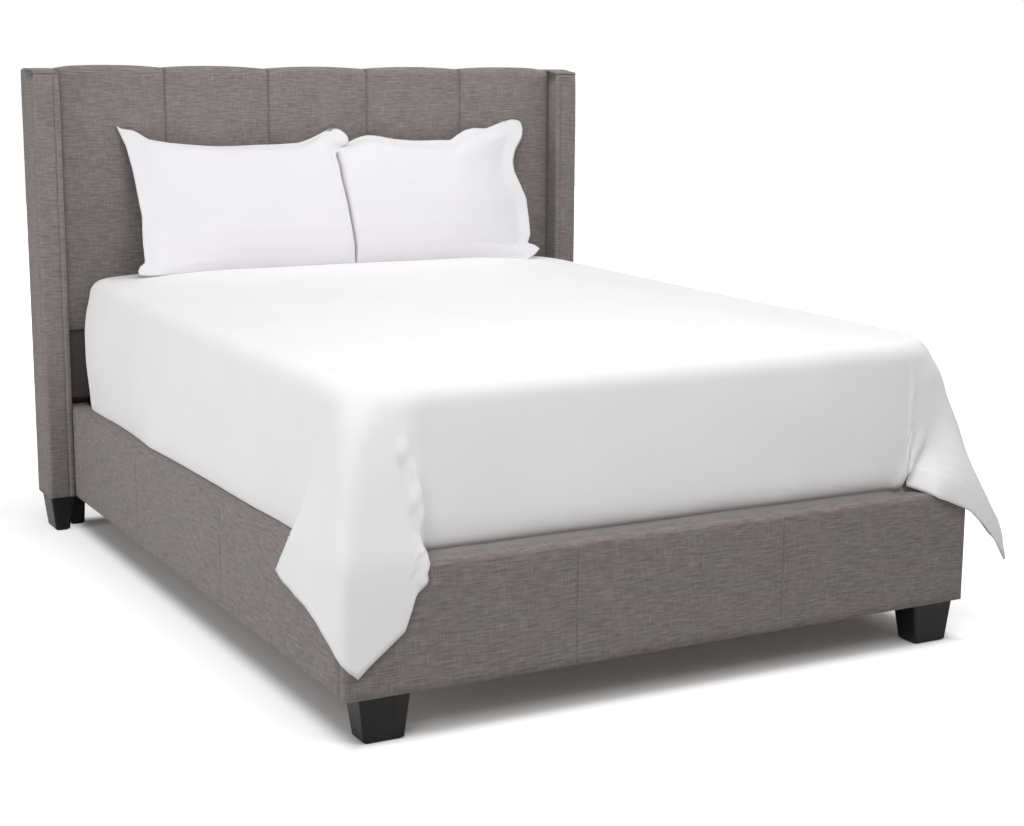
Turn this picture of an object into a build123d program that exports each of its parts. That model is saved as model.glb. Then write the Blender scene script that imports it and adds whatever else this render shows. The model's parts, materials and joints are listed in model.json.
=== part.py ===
from build123d import *
import os
from math import cos, pi, radians, sin

os.makedirs("parts", exist_ok=True)

# Upholstered panel bed for a mattress of about 1.52 by 2.03 m, made up with its bedding.
# All lengths are millimetres. The bed lies along Y with its foot at low Y, and stands on Z = 0.

# Overall sizes
bed_width = 1650.0
bed_length = 2200.0
leg_height = 100.0
rail_height = 275.0
wing_height = 1258.0
wing_thickness = 76.0
wing_depth = 141.0

# Hanging duvet corners, which reach out past the foot of the bed
flap_thickness = 11.0
flap_gap = 1.3
flap_flare = 55.0
flap_foot_flare_share = 0.3

half_width = bed_width / 2
flap_reach = flap_gap + flap_thickness + flap_foot_flare_share * flap_flare
foot_y = flap_reach - (bed_length + flap_reach) / 2
head_y = foot_y + bed_length
rail_top = leg_height + rail_height
wing_top = leg_height + wing_height

# Clearances
soft_gap = 0.3
skirt_gap = 1.0
hole_gap = 0.2
running_gap = 0.1
overrun = 10.0

# Padded side rails: a board core inside foam and fabric
rail_inset = 2.0
outer_pad = 14.0
inner_pad = 8.0
bottom_wrap = 4.0
core_thickness = 32.0
inner_pad_depth = 125.0
rail_crown = 2.5
rail_edge_radius = 15.0
rail_inner_radius = 7.0
hem_radius = 2.0
rail_panel_length = 678.0
seam_width = 7.0
seam_depth = 3.5
bare_corners = 6

rail_outer = half_width - rail_inset
core_outer = rail_outer - outer_pad
core_inner = core_outer - core_thickness
rail_inner = core_inner - inner_pad
core_bottom = leg_height + bottom_wrap
core_top = rail_top - outer_pad
bare_top = rail_top - inner_pad_depth

# Padded footboard: a full-width board with a stiffening frame between the rails
foot_panel_depth = 24.0
foot_front_pad = 10.0
foot_end_pad = 12.0
foot_frame_depth = 22.0
foot_corner_radius = 16.0
foot_top_radius = 14.0
foot_panel_count = 3

foot_core_y = foot_y + foot_front_pad
foot_panel_y = foot_y + foot_panel_depth
foot_frame_y = foot_panel_y + foot_frame_depth
foot_inner_y = foot_frame_y + inner_pad
foot_frame_x = rail_inner - soft_gap
foot_core_x = half_width - foot_end_pad

# Headboard, from its back to its front
back_inset = 5.0
back_cover_thickness = 5.0
head_frame_depth = 50.0
board_thickness = 9.0
pad_depth = 31.0
channel_crown = 16.0
channel_count = 5
scallop_height = 8.0
pad_rise = 14.0
pad_wrap = 26.0
pad_bottom = 598.0
pad_front_radius = 24.0
pad_back_radius = 12.0
pad_hem_radius = 6.0
lower_panel_thickness = 12.0
lower_panel_bottom = 391.0
lower_panel_radius = 4.0
post_width = 60.0
post_step = 24.0
bottom_rail_low = 140.0
bottom_rail_high = 285.0
middle_rail_height = 60.0
top_rail_height = 61.0
strut_width = 60.0
back_cover_low = 112.0

cover_y = head_y - back_inset
frame_back_y = cover_y - back_cover_thickness
frame_front_y = frame_back_y - head_frame_depth
board_y = frame_front_y - board_thickness
pad_y = board_y - pad_depth
pad_top = wing_top + pad_rise
head_frame_top = pad_top - pad_wrap
post_x = half_width - soft_gap
post_inner_x = post_x - post_width
post_front_y = frame_front_y - post_step
middle_rail_high = pad_bottom + middle_rail_height / 2
middle_rail_low = middle_rail_high - middle_rail_height

# Wings at each side of the headboard
wing_wall = 13.0
wing_back_wall = 3.0
wing_edge_radius = 9.0
wing_top_radius = 7.0
wing_back_radius = 3.0

wing_x = half_width + wing_thickness
wing_y = head_y - wing_depth
wing_core_x = half_width + wing_wall

# Steel plates that hook the side rails to the headboard posts
plate_thickness = 2.0
hook_plate_width = 30.0
hook_plate_height = 150.0
hook_plate_low = 170.0
slot_plate_margin = 8.0
hook_thickness = 3.0
hook_depth = 13.0
hook_height = 22.0
hook_lip = 8.0
hook_neck = 0.5
hook_spacing = 80.0
slot_height = 36.0
mortise_width = 10.0
mortise_depth = 16.0

rail_end_y = post_front_y - 2 * plate_thickness
hook_x = (core_outer + core_inner) / 2
hook_plate_mid = hook_plate_low + hook_plate_height / 2
hook_levels = (hook_plate_mid - hook_spacing / 2, hook_plate_mid + hook_spacing / 2)

# Tapered block legs
pad_height = 3.0
pad_margin = 5.0
leg_corner_radius = 6.0
leg_foot_radius = 2.5
foot_leg_x = 732.5
foot_leg_top = (118.0, 84.0)
foot_leg_bottom = (94.0, 67.0)
foot_leg_setback = 2.0
foot_leg_slope = 5.0
wing_leg_x = 866.0
wing_leg_top = (66.0, 106.0)
wing_leg_bottom = (43.0, 98.0)
wing_leg_setback = 2.0
wing_leg_slope = 2.0
post_leg_x = 806.0
post_leg_top = (52.0, 66.0)
post_leg_bottom = (42.0, 58.0)
post_leg_slope = 3.0

# Fasteners
stud_radius = 4.0
stud_depth = 38.0
foot_stud_spacing = 56.0
foot_stud_inset = 20.0
wing_stud_spacing = 50.0
bolt_radius = 4.0
bolt_head_radius = 8.0
bolt_head_height = 4.5
wing_bolt_bite = 28.0
wing_bolt_shares = (0.183, 0.556, 0.89)
screw_radius = 2.5
screw_head_radius = 4.5
screw_head_height = 2.5
ledge_screw_length = 45.0
ledge_screw_count = 10
hanger_screw_length = 25.0
angle_bolt_length = 24.0

wing_bolt_levels = [leg_height + share * wing_height for share in wing_bolt_shares]

# Corner blocks and steel angles inside the foot corners
corner_block_width = 125.0
corner_block_depth = 90.0
corner_block_height = 48.0
angle_thickness = 2.5
angle_leg = 60.0
angle_low = 152.0
angle_height = 66.0
angle_bolt_rise = 38.0
angle_bolt_inset = 17.0

# Slat ledges, slats and webbing
ledge_thickness = 22.0
ledge_height = 40.0
ledge_top = 223.0
ledge_start = 112.0
slat_thickness = 19.0
slat_width = 70.0
slat_end_gap = 2.0
slat_count = 12
first_slat_setback = 150.0
last_slat_setback = 52.0
strap_x = 400.0
strap_width = 40.0
strap_thickness = 1.5

slat_top = ledge_top + slat_thickness
first_slat_y = foot_y + first_slat_setback
last_slat_y = rail_end_y - last_slat_setback
slat_pitch = (last_slat_y - first_slat_y) / (slat_count - 1)
ledge_inner = core_inner - ledge_thickness

# Centre beam, its hangers and its legs with screw glides
beam_width = 45.0
beam_height = 60.0
hanger_width = 80.0
hanger_height = 73.0
hanger_reach = 40.0
hanger_wall_height = 47.0
hanger_screw_x = 32.0
hanger_screw_rise = 6.0
hanger_screw_step = 33.0
centre_leg_width = 45.0
centre_leg_spacing = 500.0
centre_leg_count = 3
glide_radius = 18.0
glide_height = 8.0
glide_edge = 1.5
glide_socket_radius = 6.2
glide_socket_floor = 3.0
collar_radius = 7.5
collar_height = 4.0
insert_flange_radius = 12.0
insert_flange_height = 2.0
insert_radius = 6.0
insert_length = 14.0
stem_length = 40.0

beam_bottom = ledge_top - beam_height
hanger_screw_levels = (beam_bottom + hanger_screw_rise, beam_bottom + hanger_screw_rise + hanger_screw_step)
collar_top = glide_height + collar_height
centre_leg_bottom = collar_top + insert_flange_height
stem_top = collar_top + stem_length

# Foundation and mattress
mattress_width = 1516.0
mattress_foot_gap = 13.0
mattress_head_gap = 17.0
foundation_height = 215.0
mattress_height = 281.0
mattress_corner_radius = 45.0
mattress_edge_radius = 22.0
foundation_edge_radius = 7.0

mattress_x = mattress_width / 2
mattress_foot_y = foot_inner_y + mattress_foot_gap
mattress_head_y = pad_y - mattress_head_gap
mattress_length = mattress_head_y - mattress_foot_y
mattress_mid_y = (mattress_foot_y + mattress_head_y) / 2
foundation_bottom = slat_top + soft_gap
mattress_bottom = foundation_bottom + foundation_height + soft_gap
mattress_top = mattress_bottom + mattress_height

# Duvet: a puffed top, sides tucked inside the rails and two corners that hang outside
duvet_side = 785.0
duvet_foot_bulge = 4.0
duvet_head_gap = 5.0
duvet_edge_height = 16.0
duvet_crown = 23.0
duvet_edge_radius = 26.0
duvet_end_drop = 34.0
duvet_corner_pull = 26.0
skirt_low = 302.0
head_hem_rise = 260.0
head_hem_pull = 78.0

duvet_foot_y = foot_inner_y - duvet_foot_bulge
duvet_head_y = mattress_head_y - duvet_head_gap
duvet_edge_z = mattress_top + duvet_edge_height
duvet_bottom = rail_top + skirt_gap

# How far each cross section lies from the duvet's ends, and its share of the drop and pull
foot_section_runs = (0.0, 5.0, 14.0, 40.0)
head_section_runs = (40.0, 12.0, 0.0)
foot_drop_shares = (1.0, 0.45, 0.12, 0.0)
head_drop_shares = (0.0, 0.25, 1.0)

# Hanging duvet corners. The right corner stands off in full, the left one by a small share
flap_corner_radius = 14.0
flap_tip_height = 152.0
flap_fold_height = 388.0
flap_shoulder_height = 700.0
flap_side_run = 342.0
flap_foot_run = 200.0
flap_flare_shares = {-1: 0.06, 1: 1.0}

# Each level of a hanging corner, from its tip up: shares of its height, of its longest run along the rail,
# of its longest run along the footboard and of how far it stands off
flap_level_shares = (
    (0.0, 0.05, 0.15, 1.0),
    (0.164, 0.573, 0.685, 0.836),
    (0.272, 1.0, 0.825, 0.655),
    (0.431, 0.886, 0.945, 0.29),
    (0.745, 0.439, 1.0, 0.09),
    (1.0, 0.219, 0.975, 0.0),
)

# Pillows that lean on the headboard
pillow_width = 672.0
pillow_height = 462.0
pillow_gap = 4.0
pillow_half_thickness = 76.0
pillow_flange = 38.0
pillow_edge = 3.0
pillow_edge_swell = 1.5
pillow_foot_gap = 182.0
pillow_lean = 22.5
pillow_top_dip = 48.0
pillow_side_dip = 13.0
pillow_bottom_dip = 6.0
pillow_height_shares = (0.0, 0.07, 0.16, 0.3, 0.46, 0.62, 0.77, 0.88, 0.94, 1.0)
pillow_swell_shares = (0.0, 0.03, 0.52, 0.86, 1.0, 0.92, 0.6, 0.27, 0.03, 0.0)


def save(part, name):
    """Names a finished piece and writes its file."""
    part.label = name
    export_step(part, "parts/" + name + ".step")


def mirrored(side, low, high):
    """The span from low to high on the side +1, or its mirror image on the side -1."""
    return tuple(sorted((side * low, side * high)))


def middle(span):
    """The middle of a span."""
    return (span[0] + span[1]) / 2


def box_in(x, y, z, mode=Mode.ADD):
    """Adds or cuts a block between its low and high x, y and z in the open part."""
    with BuildSketch(Plane.XY.offset(z[0])) as base:
        with Locations((middle(x), middle(y))):
            Rectangle(x[1] - x[0], y[1] - y[0])
    extrude(base.sketch, amount=z[1] - z[0], mode=mode)


def drill(origin, direction, radius, depth):
    """Cuts a round hole from a point of the open part, along a direction."""
    with BuildSketch(Plane(origin=origin, z_dir=direction)) as mouth:
        Circle(radius)
    extrude(mouth.sketch, amount=depth, mode=Mode.SUBTRACT)


def rod(origin, direction, radius, length):
    """Adds a round rod to the open part, from a point along a direction."""
    with BuildSketch(Plane(origin=origin, z_dir=direction)) as end:
        Circle(radius)
    extrude(end.sketch, amount=length)


def screw(origin, direction, radius, length, head_radius, head_height):
    """Adds a bolt or screw: its head stands proud of the origin and its shank goes in."""
    rod(origin, direction, radius, length)
    with BuildSketch(Plane(origin=origin, z_dir=direction)) as head:
        RegularPolygon(head_radius, 6)
    extrude(head.sketch, amount=-head_height)


def board(name, x, y, z, holes=()):
    """A plain board between its low and high x, y and z, with its drilled holes."""
    with BuildPart() as piece:
        box_in(x, y, z)
        for origin, direction, radius, depth in holes:
            drill(origin, direction, radius, depth)
    save(piece.part, name)


def spaced(count, pitch, centre):
    """The middles of evenly pitched pieces about a centre."""
    return [centre + (i - (count - 1) / 2) * pitch for i in range(count)]


sides = {"left": -1, "right": 1}

# Places that several pieces share
ledge_y = (foot_y + ledge_start, rail_end_y - slat_end_gap)
ledge_screw_pitch = (ledge_y[1] - ledge_y[0]) / ledge_screw_count
ledge_screw_places = spaced(ledge_screw_count, ledge_screw_pitch, middle(ledge_y))
ledge_screw_z = ledge_top - ledge_height / 2
angle_bolt_z = angle_low + angle_bolt_rise
angle_bolt_places = (angle_leg - angle_bolt_inset, angle_bolt_inset + angle_thickness + bolt_head_radius)
foot_stud_y = foot_y + foot_leg_setback + foot_leg_top[1] - foot_stud_inset
wing_stud_places = spaced(2, wing_stud_spacing, wing_y + wing_leg_setback + wing_leg_top[1] / 2)
post_stud_y = post_front_y + post_leg_top[1] / 2
wing_bolt_y = (frame_front_y + frame_back_y) / 2
wing_bolt_length = wing_core_x + wing_bolt_bite - post_inner_x
centre_leg_places = spaced(centre_leg_count, centre_leg_spacing, (foot_y + head_y) / 2)
hanger_seats = ((foot_frame_y, 1), (frame_front_y, -1))
up, down = (0, 0, 1), (0, 0, -1)


# Cores of the side rails
for side_name, side in sides.items():
    inward = (-side, 0, 0)
    outward = (side, 0, 0)
    inner_face = side * core_inner
    holes = [
        ((inner_face, y, ledge_screw_z), outward, screw_radius + hole_gap, core_thickness)
        for y in ledge_screw_places
    ]
    holes += [
        ((inner_face, foot_frame_y + run, angle_bolt_z), outward, screw_radius + hole_gap, core_thickness)
        for run in angle_bolt_places
    ]
    board(
        "side_rail_core_" + side_name,
        mirrored(side, core_inner, core_outer),
        (foot_panel_y, rail_end_y),
        (core_bottom, core_top),
        holes,
    )

# Padded covers of the side rails, sewn in three panels
for side_name, side in sides.items():
    seams = [rail_end_y - rail_panel_length, rail_end_y - 2 * rail_panel_length]
    rail_middle = (leg_height + rail_top) / 2
    corner_radii = [hem_radius, 0, rail_edge_radius, rail_inner_radius, hem_radius] + [0] * bare_corners
    with BuildPart() as cover:
        with BuildSketch(Plane.XZ.offset(-foot_panel_y - soft_gap)):
            with BuildLine():
                FilletPolyline(
                    (side * (rail_outer - rail_crown), leg_height),
                    (side * rail_outer, rail_middle),
                    (side * (rail_outer - rail_crown), rail_top),
                    (side * rail_inner, rail_top),
                    (side * rail_inner, bare_top),
                    (side * core_inner, bare_top),
                    (side * core_inner, core_top),
                    (side * core_outer, core_top),
                    (side * core_outer, core_bottom),
                    (side * core_inner, core_bottom),
                    (side * core_inner, leg_height),
                    radius=corner_radii,
                    close=True,
                )
            make_face()
        extrude(amount=-(rail_end_y - foot_panel_y - soft_gap))
        for seam in seams:
            with BuildSketch(Plane.XY.offset(leg_height - overrun)):
                with BuildLine():
                    Polyline(
                        (side * (rail_outer + overrun), seam - seam_width / 2),
                        (side * (rail_outer - rail_crown), seam - seam_width / 2),
                        (side * (rail_outer - rail_crown - seam_depth), seam),
                        (side * (rail_outer - rail_crown), seam + seam_width / 2),
                        (side * (rail_outer + overrun), seam + seam_width / 2),
                        close=True,
                    )
                make_face()
            extrude(amount=rail_height + 2 * overrun, mode=Mode.SUBTRACT)
    save(cover.part, "side_rail_cover_" + side_name)

# Footboard core: the front board and the frame behind it, in one glued piece
with BuildPart() as foot_core:
    box_in((-foot_core_x, foot_core_x), (foot_core_y, foot_panel_y), (core_bottom, core_top))
    box_in((-foot_frame_x, foot_frame_x), (foot_panel_y, foot_frame_y), (core_bottom, core_top))
    for side in sides.values():
        for run in angle_bolt_places:
            place = (side * (core_inner - run), foot_frame_y, angle_bolt_z)
            drill(place, (0, -1, 0), screw_radius + hole_gap, foot_frame_depth + foot_panel_depth / 2)
        for level in hanger_screw_levels:
            place = (side * hanger_screw_x, foot_frame_y, level)
            drill(place, (0, -1, 0), screw_radius + hole_gap, hanger_screw_length + running_gap)
save(foot_core.part, "footboard_core")

# Padded cover of the footboard, round at its top edge and its two front corners
with BuildPart() as foot_cover:
    box_in((-half_width, half_width), (foot_y, foot_panel_y), (leg_height, rail_top))
    fillet(foot_cover.edges().filter_by(Axis.Z).group_by(Axis.Y)[0], foot_corner_radius)
    top_edges = foot_cover.faces().sort_by(Axis.Z)[-1].edges()
    fillet(top_edges.sort_by(Axis.Y)[:-1], foot_top_radius)
    box_in((-foot_frame_x, foot_frame_x), (foot_panel_y, foot_inner_y), (bare_top, rail_top))
    inner_edges = foot_cover.faces().sort_by(Axis.Y)[-1].edges()
    fillet(inner_edges.sort_by(Axis.Z)[-1], rail_inner_radius)
    box_in((-foot_core_x, foot_core_x), (foot_core_y, foot_panel_y), (core_bottom, core_top), Mode.SUBTRACT)
    frame_cut = foot_frame_x + overrun
    box_in((-frame_cut, frame_cut), (foot_panel_y, foot_frame_y), (core_bottom, core_top), Mode.SUBTRACT)
    for seam in spaced(foot_panel_count - 1, bed_width / foot_panel_count, 0):
        with BuildSketch(Plane.XY.offset(leg_height - overrun)):
            with BuildLine():
                Polyline(
                    (seam - seam_width / 2, foot_y),
                    (seam, foot_y + seam_depth),
                    (seam + seam_width / 2, foot_y),
                    close=True,
                )
            make_face()
        extrude(amount=rail_height + 2 * overrun, mode=Mode.SUBTRACT)
save(foot_cover.part, "footboard_cover")

# Headboard posts, deeper below where the rails hook on
for side_name, side in sides.items():
    x = mirrored(side, post_inner_x, post_x)
    with BuildPart() as post:
        box_in(x, (frame_front_y, frame_back_y), (leg_height, head_frame_top))
        box_in(x, (post_front_y, frame_front_y), (leg_height, lower_panel_bottom - bottom_wrap))
        for level in wing_bolt_levels:
            drill((side * post_inner_x, wing_bolt_y, level), (side, 0, 0), bolt_radius + hole_gap, post_width)
        for level in hook_levels:
            box_in(
                mirrored(side, hook_x - mortise_width / 2, hook_x + mortise_width / 2),
                (post_front_y, post_front_y + mortise_depth),
                (level - hook_lip - overrun, level + slot_height + overrun / 2),
                Mode.SUBTRACT,
            )
        drill((side * post_leg_x, post_stud_y, leg_height), up, stud_radius + hole_gap, stud_depth)
    save(post.part, "headboard_post_" + side_name)

# Cross rails, struts and boards of the headboard
cross_x = (-post_inner_x, post_inner_x)
frame_span_y = (frame_front_y, frame_back_y)
hanger_holes = [
    ((side * hanger_screw_x, frame_front_y, level), (0, 1, 0), screw_radius + hole_gap, hanger_screw_length)
    for side in sides.values()
    for level in hanger_screw_levels
]
board("headboard_bottom_rail", cross_x, frame_span_y, (bottom_rail_low, bottom_rail_high), hanger_holes)
board("headboard_middle_rail", cross_x, frame_span_y, (middle_rail_low, middle_rail_high))
board("headboard_top_rail", cross_x, frame_span_y, (head_frame_top - top_rail_height, head_frame_top))
with BuildPart() as struts:
    for strut_x in spaced(2, 2 * post_inner_x / 3, 0):
        box_in(
            (strut_x - strut_width / 2, strut_x + strut_width / 2),
            frame_span_y,
            (middle_rail_high, head_frame_top - top_rail_height),
        )
save(struts.part, "headboard_struts")
board_x = (-post_x, post_x)
board("headboard_backing_board", board_x, (board_y, frame_front_y), (lower_panel_bottom, head_frame_top))
board("headboard_back_cover", board_x, (frame_back_y, cover_y), (back_cover_low, head_frame_top))

# Tufted pad: five upright channels that wrap over the top
with BuildPart() as tufted_pad:
    channel_width = 2 * post_x / channel_count
    seam_y = pad_y + channel_crown
    with BuildSketch(Plane.YZ.offset(-post_x)):
        with BuildLine():
            FilletPolyline(
                (pad_y, pad_bottom),
                (pad_y, pad_top),
                (cover_y, pad_top),
                (cover_y, head_frame_top),
                (board_y, head_frame_top),
                (board_y, pad_bottom),
                radius=[pad_hem_radius, pad_front_radius, pad_back_radius, 0, 0, 0],
                close=True,
            )
        make_face()
    extrude(amount=2 * post_x)
    with BuildSketch(Plane.XY.offset(pad_bottom - overrun)):
        with BuildLine():
            for centre in spaced(channel_count, channel_width, 0):
                ThreePointArc(
                    (centre - channel_width / 2, seam_y),
                    (centre, pad_y),
                    (centre + channel_width / 2, seam_y),
                )
            Polyline((post_x, seam_y), (post_x, head_y), (-post_x, head_y), (-post_x, seam_y))
        make_face()
    extrude(amount=pad_top - pad_bottom + 2 * overrun, mode=Mode.INTERSECT)
    with BuildSketch(Plane.XZ.offset(-pad_y + overrun)):
        with BuildLine():
            for centre in spaced(channel_count, channel_width, 0):
                ThreePointArc(
                    (centre - channel_width / 2, pad_top - scallop_height),
                    (centre, pad_top),
                    (centre + channel_width / 2, pad_top - scallop_height),
                )
            Polyline(
                (post_x, pad_top - scallop_height),
                (post_x, leg_height),
                (-post_x, leg_height),
                (-post_x, pad_top - scallop_height),
            )
        make_face()
    extrude(amount=-(cover_y - pad_y + 2 * overrun), mode=Mode.INTERSECT)
save(tufted_pad.part, "headboard_tufted_pad")

# Flat padded panel below the tufted pad
with BuildPart() as lower_panel:
    panel_y = (board_y - lower_panel_thickness, board_y)
    box_in((-post_x, post_x), panel_y, (lower_panel_bottom, pad_bottom - soft_gap))
    front_edges = lower_panel.faces().sort_by(Axis.Y)[0].edges()
    fillet(front_edges, lower_panel_radius)
save(lower_panel.part, "headboard_lower_panel")

# Wings: a timber core in a padded sleeve that is open below
for side_name, side in sides.items():
    with BuildPart() as wing_core:
        core_x = mirrored(side, wing_core_x, wing_x - wing_wall)
        core_y = (wing_y + wing_wall, head_y - wing_back_wall)
        box_in(core_x, core_y, (leg_height, wing_top - wing_wall))
        for level in wing_bolt_levels:
            place = (side * wing_core_x, wing_bolt_y, level)
            drill(place, (side, 0, 0), bolt_radius + hole_gap, wing_bolt_bite + running_gap)
        for y in wing_stud_places:
            drill((side * wing_leg_x, y, leg_height), up, stud_radius + hole_gap, stud_depth)
    save(wing_core.part, "wing_core_" + side_name)
    with BuildPart() as wing_cover:
        box_in(mirrored(side, half_width, wing_x), (wing_y, head_y), (leg_height, wing_top))
        fillet(wing_cover.edges().filter_by(Axis.Z).group_by(Axis.Y)[0], wing_edge_radius)
        fillet(wing_cover.edges().filter_by(Axis.Z).group_by(Axis.Y)[-1], wing_back_radius)
        fillet(wing_cover.faces().sort_by(Axis.Z)[-1].edges(), wing_top_radius)
        box_in(core_x, core_y, (leg_height - overrun, wing_top - wing_wall), Mode.SUBTRACT)
        for level in wing_bolt_levels:
            drill((side * half_width, wing_bolt_y, level), (side, 0, 0), bolt_radius + hole_gap, wing_wall)
    save(wing_cover.part, "wing_cover_" + side_name)

# Bolts that hold the wings to the posts
with BuildPart() as wing_bolts:
    for side in sides.values():
        for level in wing_bolt_levels:
            place = (side * post_inner_x, wing_bolt_y, level)
            screw(place, (side, 0, 0), bolt_radius, wing_bolt_length, bolt_head_radius, bolt_head_height)
save(wing_bolts.part, "wing_bolts")

# Hook plates on the rail ends and slotted plates on the posts
with BuildPart() as hook_plates:
    for side in sides.values():
        plate_span = mirrored(side, hook_x - hook_plate_width / 2, hook_x + hook_plate_width / 2)
        plate_z = (hook_plate_low, hook_plate_low + hook_plate_height)
        box_in(plate_span, (rail_end_y, rail_end_y + plate_thickness), plate_z)
        root_y = rail_end_y + plate_thickness
        lip_y = post_front_y + hook_neck
        for level in hook_levels:
            with BuildSketch(Plane.YZ.offset(side * hook_x - hook_thickness / 2)):
                with BuildLine():
                    Polyline(
                        (root_y, level),
                        (lip_y, level),
                        (lip_y, level - hook_lip),
                        (root_y + hook_depth, level - hook_lip),
                        (root_y + hook_depth, level + hook_height),
                        (root_y, level + hook_height),
                        close=True,
                    )
                make_face()
            extrude(amount=hook_thickness)
save(hook_plates.part, "rail_hook_plates")
with BuildPart() as slot_plates:
    for side in sides.values():
        plate_span = mirrored(side, hook_x - hook_plate_width / 2, hook_x + hook_plate_width / 2)
        plate_z = (hook_plate_low - slot_plate_margin, hook_plate_low + hook_plate_height + slot_plate_margin)
        box_in(plate_span, (post_front_y - plate_thickness, post_front_y), plate_z)
        slot_half = hook_thickness / 2 + hole_gap
        for level in hook_levels:
            box_in(
                (side * hook_x - slot_half, side * hook_x + slot_half),
                (post_front_y - plate_thickness, post_front_y),
                (level, level + slot_height),
                Mode.SUBTRACT,
            )
save(slot_plates.part, "post_slot_plates")


def tapered_leg(name, x, top, bottom, front_y, slope, studs):
    """A block leg whose four sides narrow downwards, with stud holes in its top."""
    with BuildPart() as leg:
        with BuildSketch(Plane.XY.offset(pad_height)):
            with Locations((x, front_y + slope + bottom[1] / 2)):
                RectangleRounded(bottom[0], bottom[1], leg_corner_radius)
        with BuildSketch(Plane.XY.offset(leg_height)):
            with Locations((x, front_y + top[1] / 2)):
                RectangleRounded(top[0], top[1], leg_corner_radius)
        loft()
        fillet(leg.faces().sort_by(Axis.Z)[0].edges(), leg_foot_radius)
        for stud_x, stud_y in studs:
            drill((stud_x, stud_y, leg_height), down, stud_radius + hole_gap, stud_depth)
    save(leg.part, name)


# Legs, their studs and the pads under them
leg_studs = []
pad_places = []
for side_name, side in sides.items():
    foot_studs = [(x, foot_stud_y) for x in spaced(2, foot_stud_spacing, side * foot_leg_x)]
    wing_studs = [(side * wing_leg_x, y) for y in wing_stud_places]
    post_studs = [(side * post_leg_x, post_stud_y)]
    leg_studs += foot_studs + wing_studs + post_studs
    foot_front = foot_y + foot_leg_setback
    wing_front = wing_y + wing_leg_setback
    legs = (
        ("foot_leg_", foot_leg_x, foot_leg_top, foot_leg_bottom, foot_front, foot_leg_slope, foot_studs),
        ("wing_leg_", wing_leg_x, wing_leg_top, wing_leg_bottom, wing_front, wing_leg_slope, wing_studs),
        ("post_leg_", post_leg_x, post_leg_top, post_leg_bottom, post_front_y, post_leg_slope, post_studs),
    )
    for leg_name, leg_x, top, bottom, front, slope, studs in legs:
        tapered_leg(leg_name + side_name, side * leg_x, top, bottom, front, slope, studs)
        pad_places.append((side * leg_x, front + slope + bottom[1] / 2, bottom))
with BuildPart() as studs_part:
    for stud_x, stud_y in leg_studs:
        rod((stud_x, stud_y, leg_height - stud_depth), up, stud_radius, 2 * stud_depth)
save(studs_part.part, "leg_studs")
with BuildPart() as leg_pads:
    for pad_x, pad_mid_y, bottom in pad_places:
        with BuildSketch():
            with Locations((pad_x, pad_mid_y)):
                RectangleRounded(bottom[0] - 2 * pad_margin, bottom[1] - 2 * pad_margin, leg_corner_radius)
        extrude(amount=pad_height)
save(leg_pads.part, "leg_pads")

# Corner blocks that the foot legs screw into
with BuildPart() as corner_blocks:
    for side in sides.values():
        box_in(
            mirrored(side, core_inner - corner_block_width, core_inner),
            (foot_frame_y, foot_frame_y + corner_block_depth),
            (leg_height, leg_height + corner_block_height),
        )
        for x in spaced(2, foot_stud_spacing, side * foot_leg_x):
            drill((x, foot_stud_y, leg_height), up, stud_radius + hole_gap, stud_depth)
save(corner_blocks.part, "corner_blocks")

# Steel angles in the foot corners, and their bolts
with BuildPart() as angles:
    angle_z = (angle_low, angle_low + angle_height)
    for side in sides.values():
        long_x = mirrored(side, core_inner - angle_leg, core_inner)
        short_x = mirrored(side, core_inner - angle_thickness, core_inner)
        box_in(long_x, (foot_frame_y, foot_frame_y + angle_thickness), angle_z)
        box_in(short_x, (foot_frame_y, foot_frame_y + angle_leg), angle_z)
        for run in angle_bolt_places:
            place = (side * (core_inner - run), foot_frame_y, angle_bolt_z)
            drill(place, (0, 1, 0), screw_radius + hole_gap, angle_thickness)
            place = (side * core_inner, foot_frame_y + run, angle_bolt_z)
            drill(place, (-side, 0, 0), screw_radius + hole_gap, angle_thickness)
save(angles.part, "corner_angles")
with BuildPart() as angle_bolts:
    for side in sides.values():
        for run in angle_bolt_places:
            place = (side * (core_inner - run), foot_frame_y + angle_thickness, angle_bolt_z)
            screw(place, (0, -1, 0), screw_radius, angle_bolt_length, screw_head_radius, screw_head_height)
            place = (side * (core_inner - angle_thickness), foot_frame_y + run, angle_bolt_z)
            screw(place, (side, 0, 0), screw_radius, angle_bolt_length, screw_head_radius, screw_head_height)
save(angle_bolts.part, "corner_angle_bolts")

# Ledges that carry the slats, and their screws
for side_name, side in sides.items():
    holes = [
        ((side * ledge_inner, y, ledge_screw_z), (side, 0, 0), screw_radius + hole_gap, ledge_thickness)
        for y in ledge_screw_places
    ]
    ledge_span = mirrored(side, ledge_inner, core_inner)
    board("slat_ledge_" + side_name, ledge_span, ledge_y, (ledge_top - ledge_height, ledge_top), holes)
with BuildPart() as ledge_screws:
    for side in sides.values():
        for y in ledge_screw_places:
            place = (side * ledge_inner, y, ledge_screw_z)
            screw(place, (side, 0, 0), screw_radius, ledge_screw_length, screw_head_radius, screw_head_height)
save(ledge_screws.part, "ledge_screws")

# Slats and the straps stapled under them
slat_x = core_inner - slat_end_gap
with BuildPart() as slats:
    for slat_y in spaced(slat_count, slat_pitch, (first_slat_y + last_slat_y) / 2):
        box_in((-slat_x, slat_x), (slat_y - slat_width / 2, slat_y + slat_width / 2), (ledge_top, slat_top))
save(slats.part, "slats")
with BuildPart() as straps:
    for x in (-strap_x, strap_x):
        strap_y = (first_slat_y - slat_width / 2, last_slat_y + slat_width / 2)
        box_in((x - strap_width / 2, x + strap_width / 2), strap_y, (ledge_top - strap_thickness, ledge_top))
save(straps.part, "slat_straps")

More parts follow.
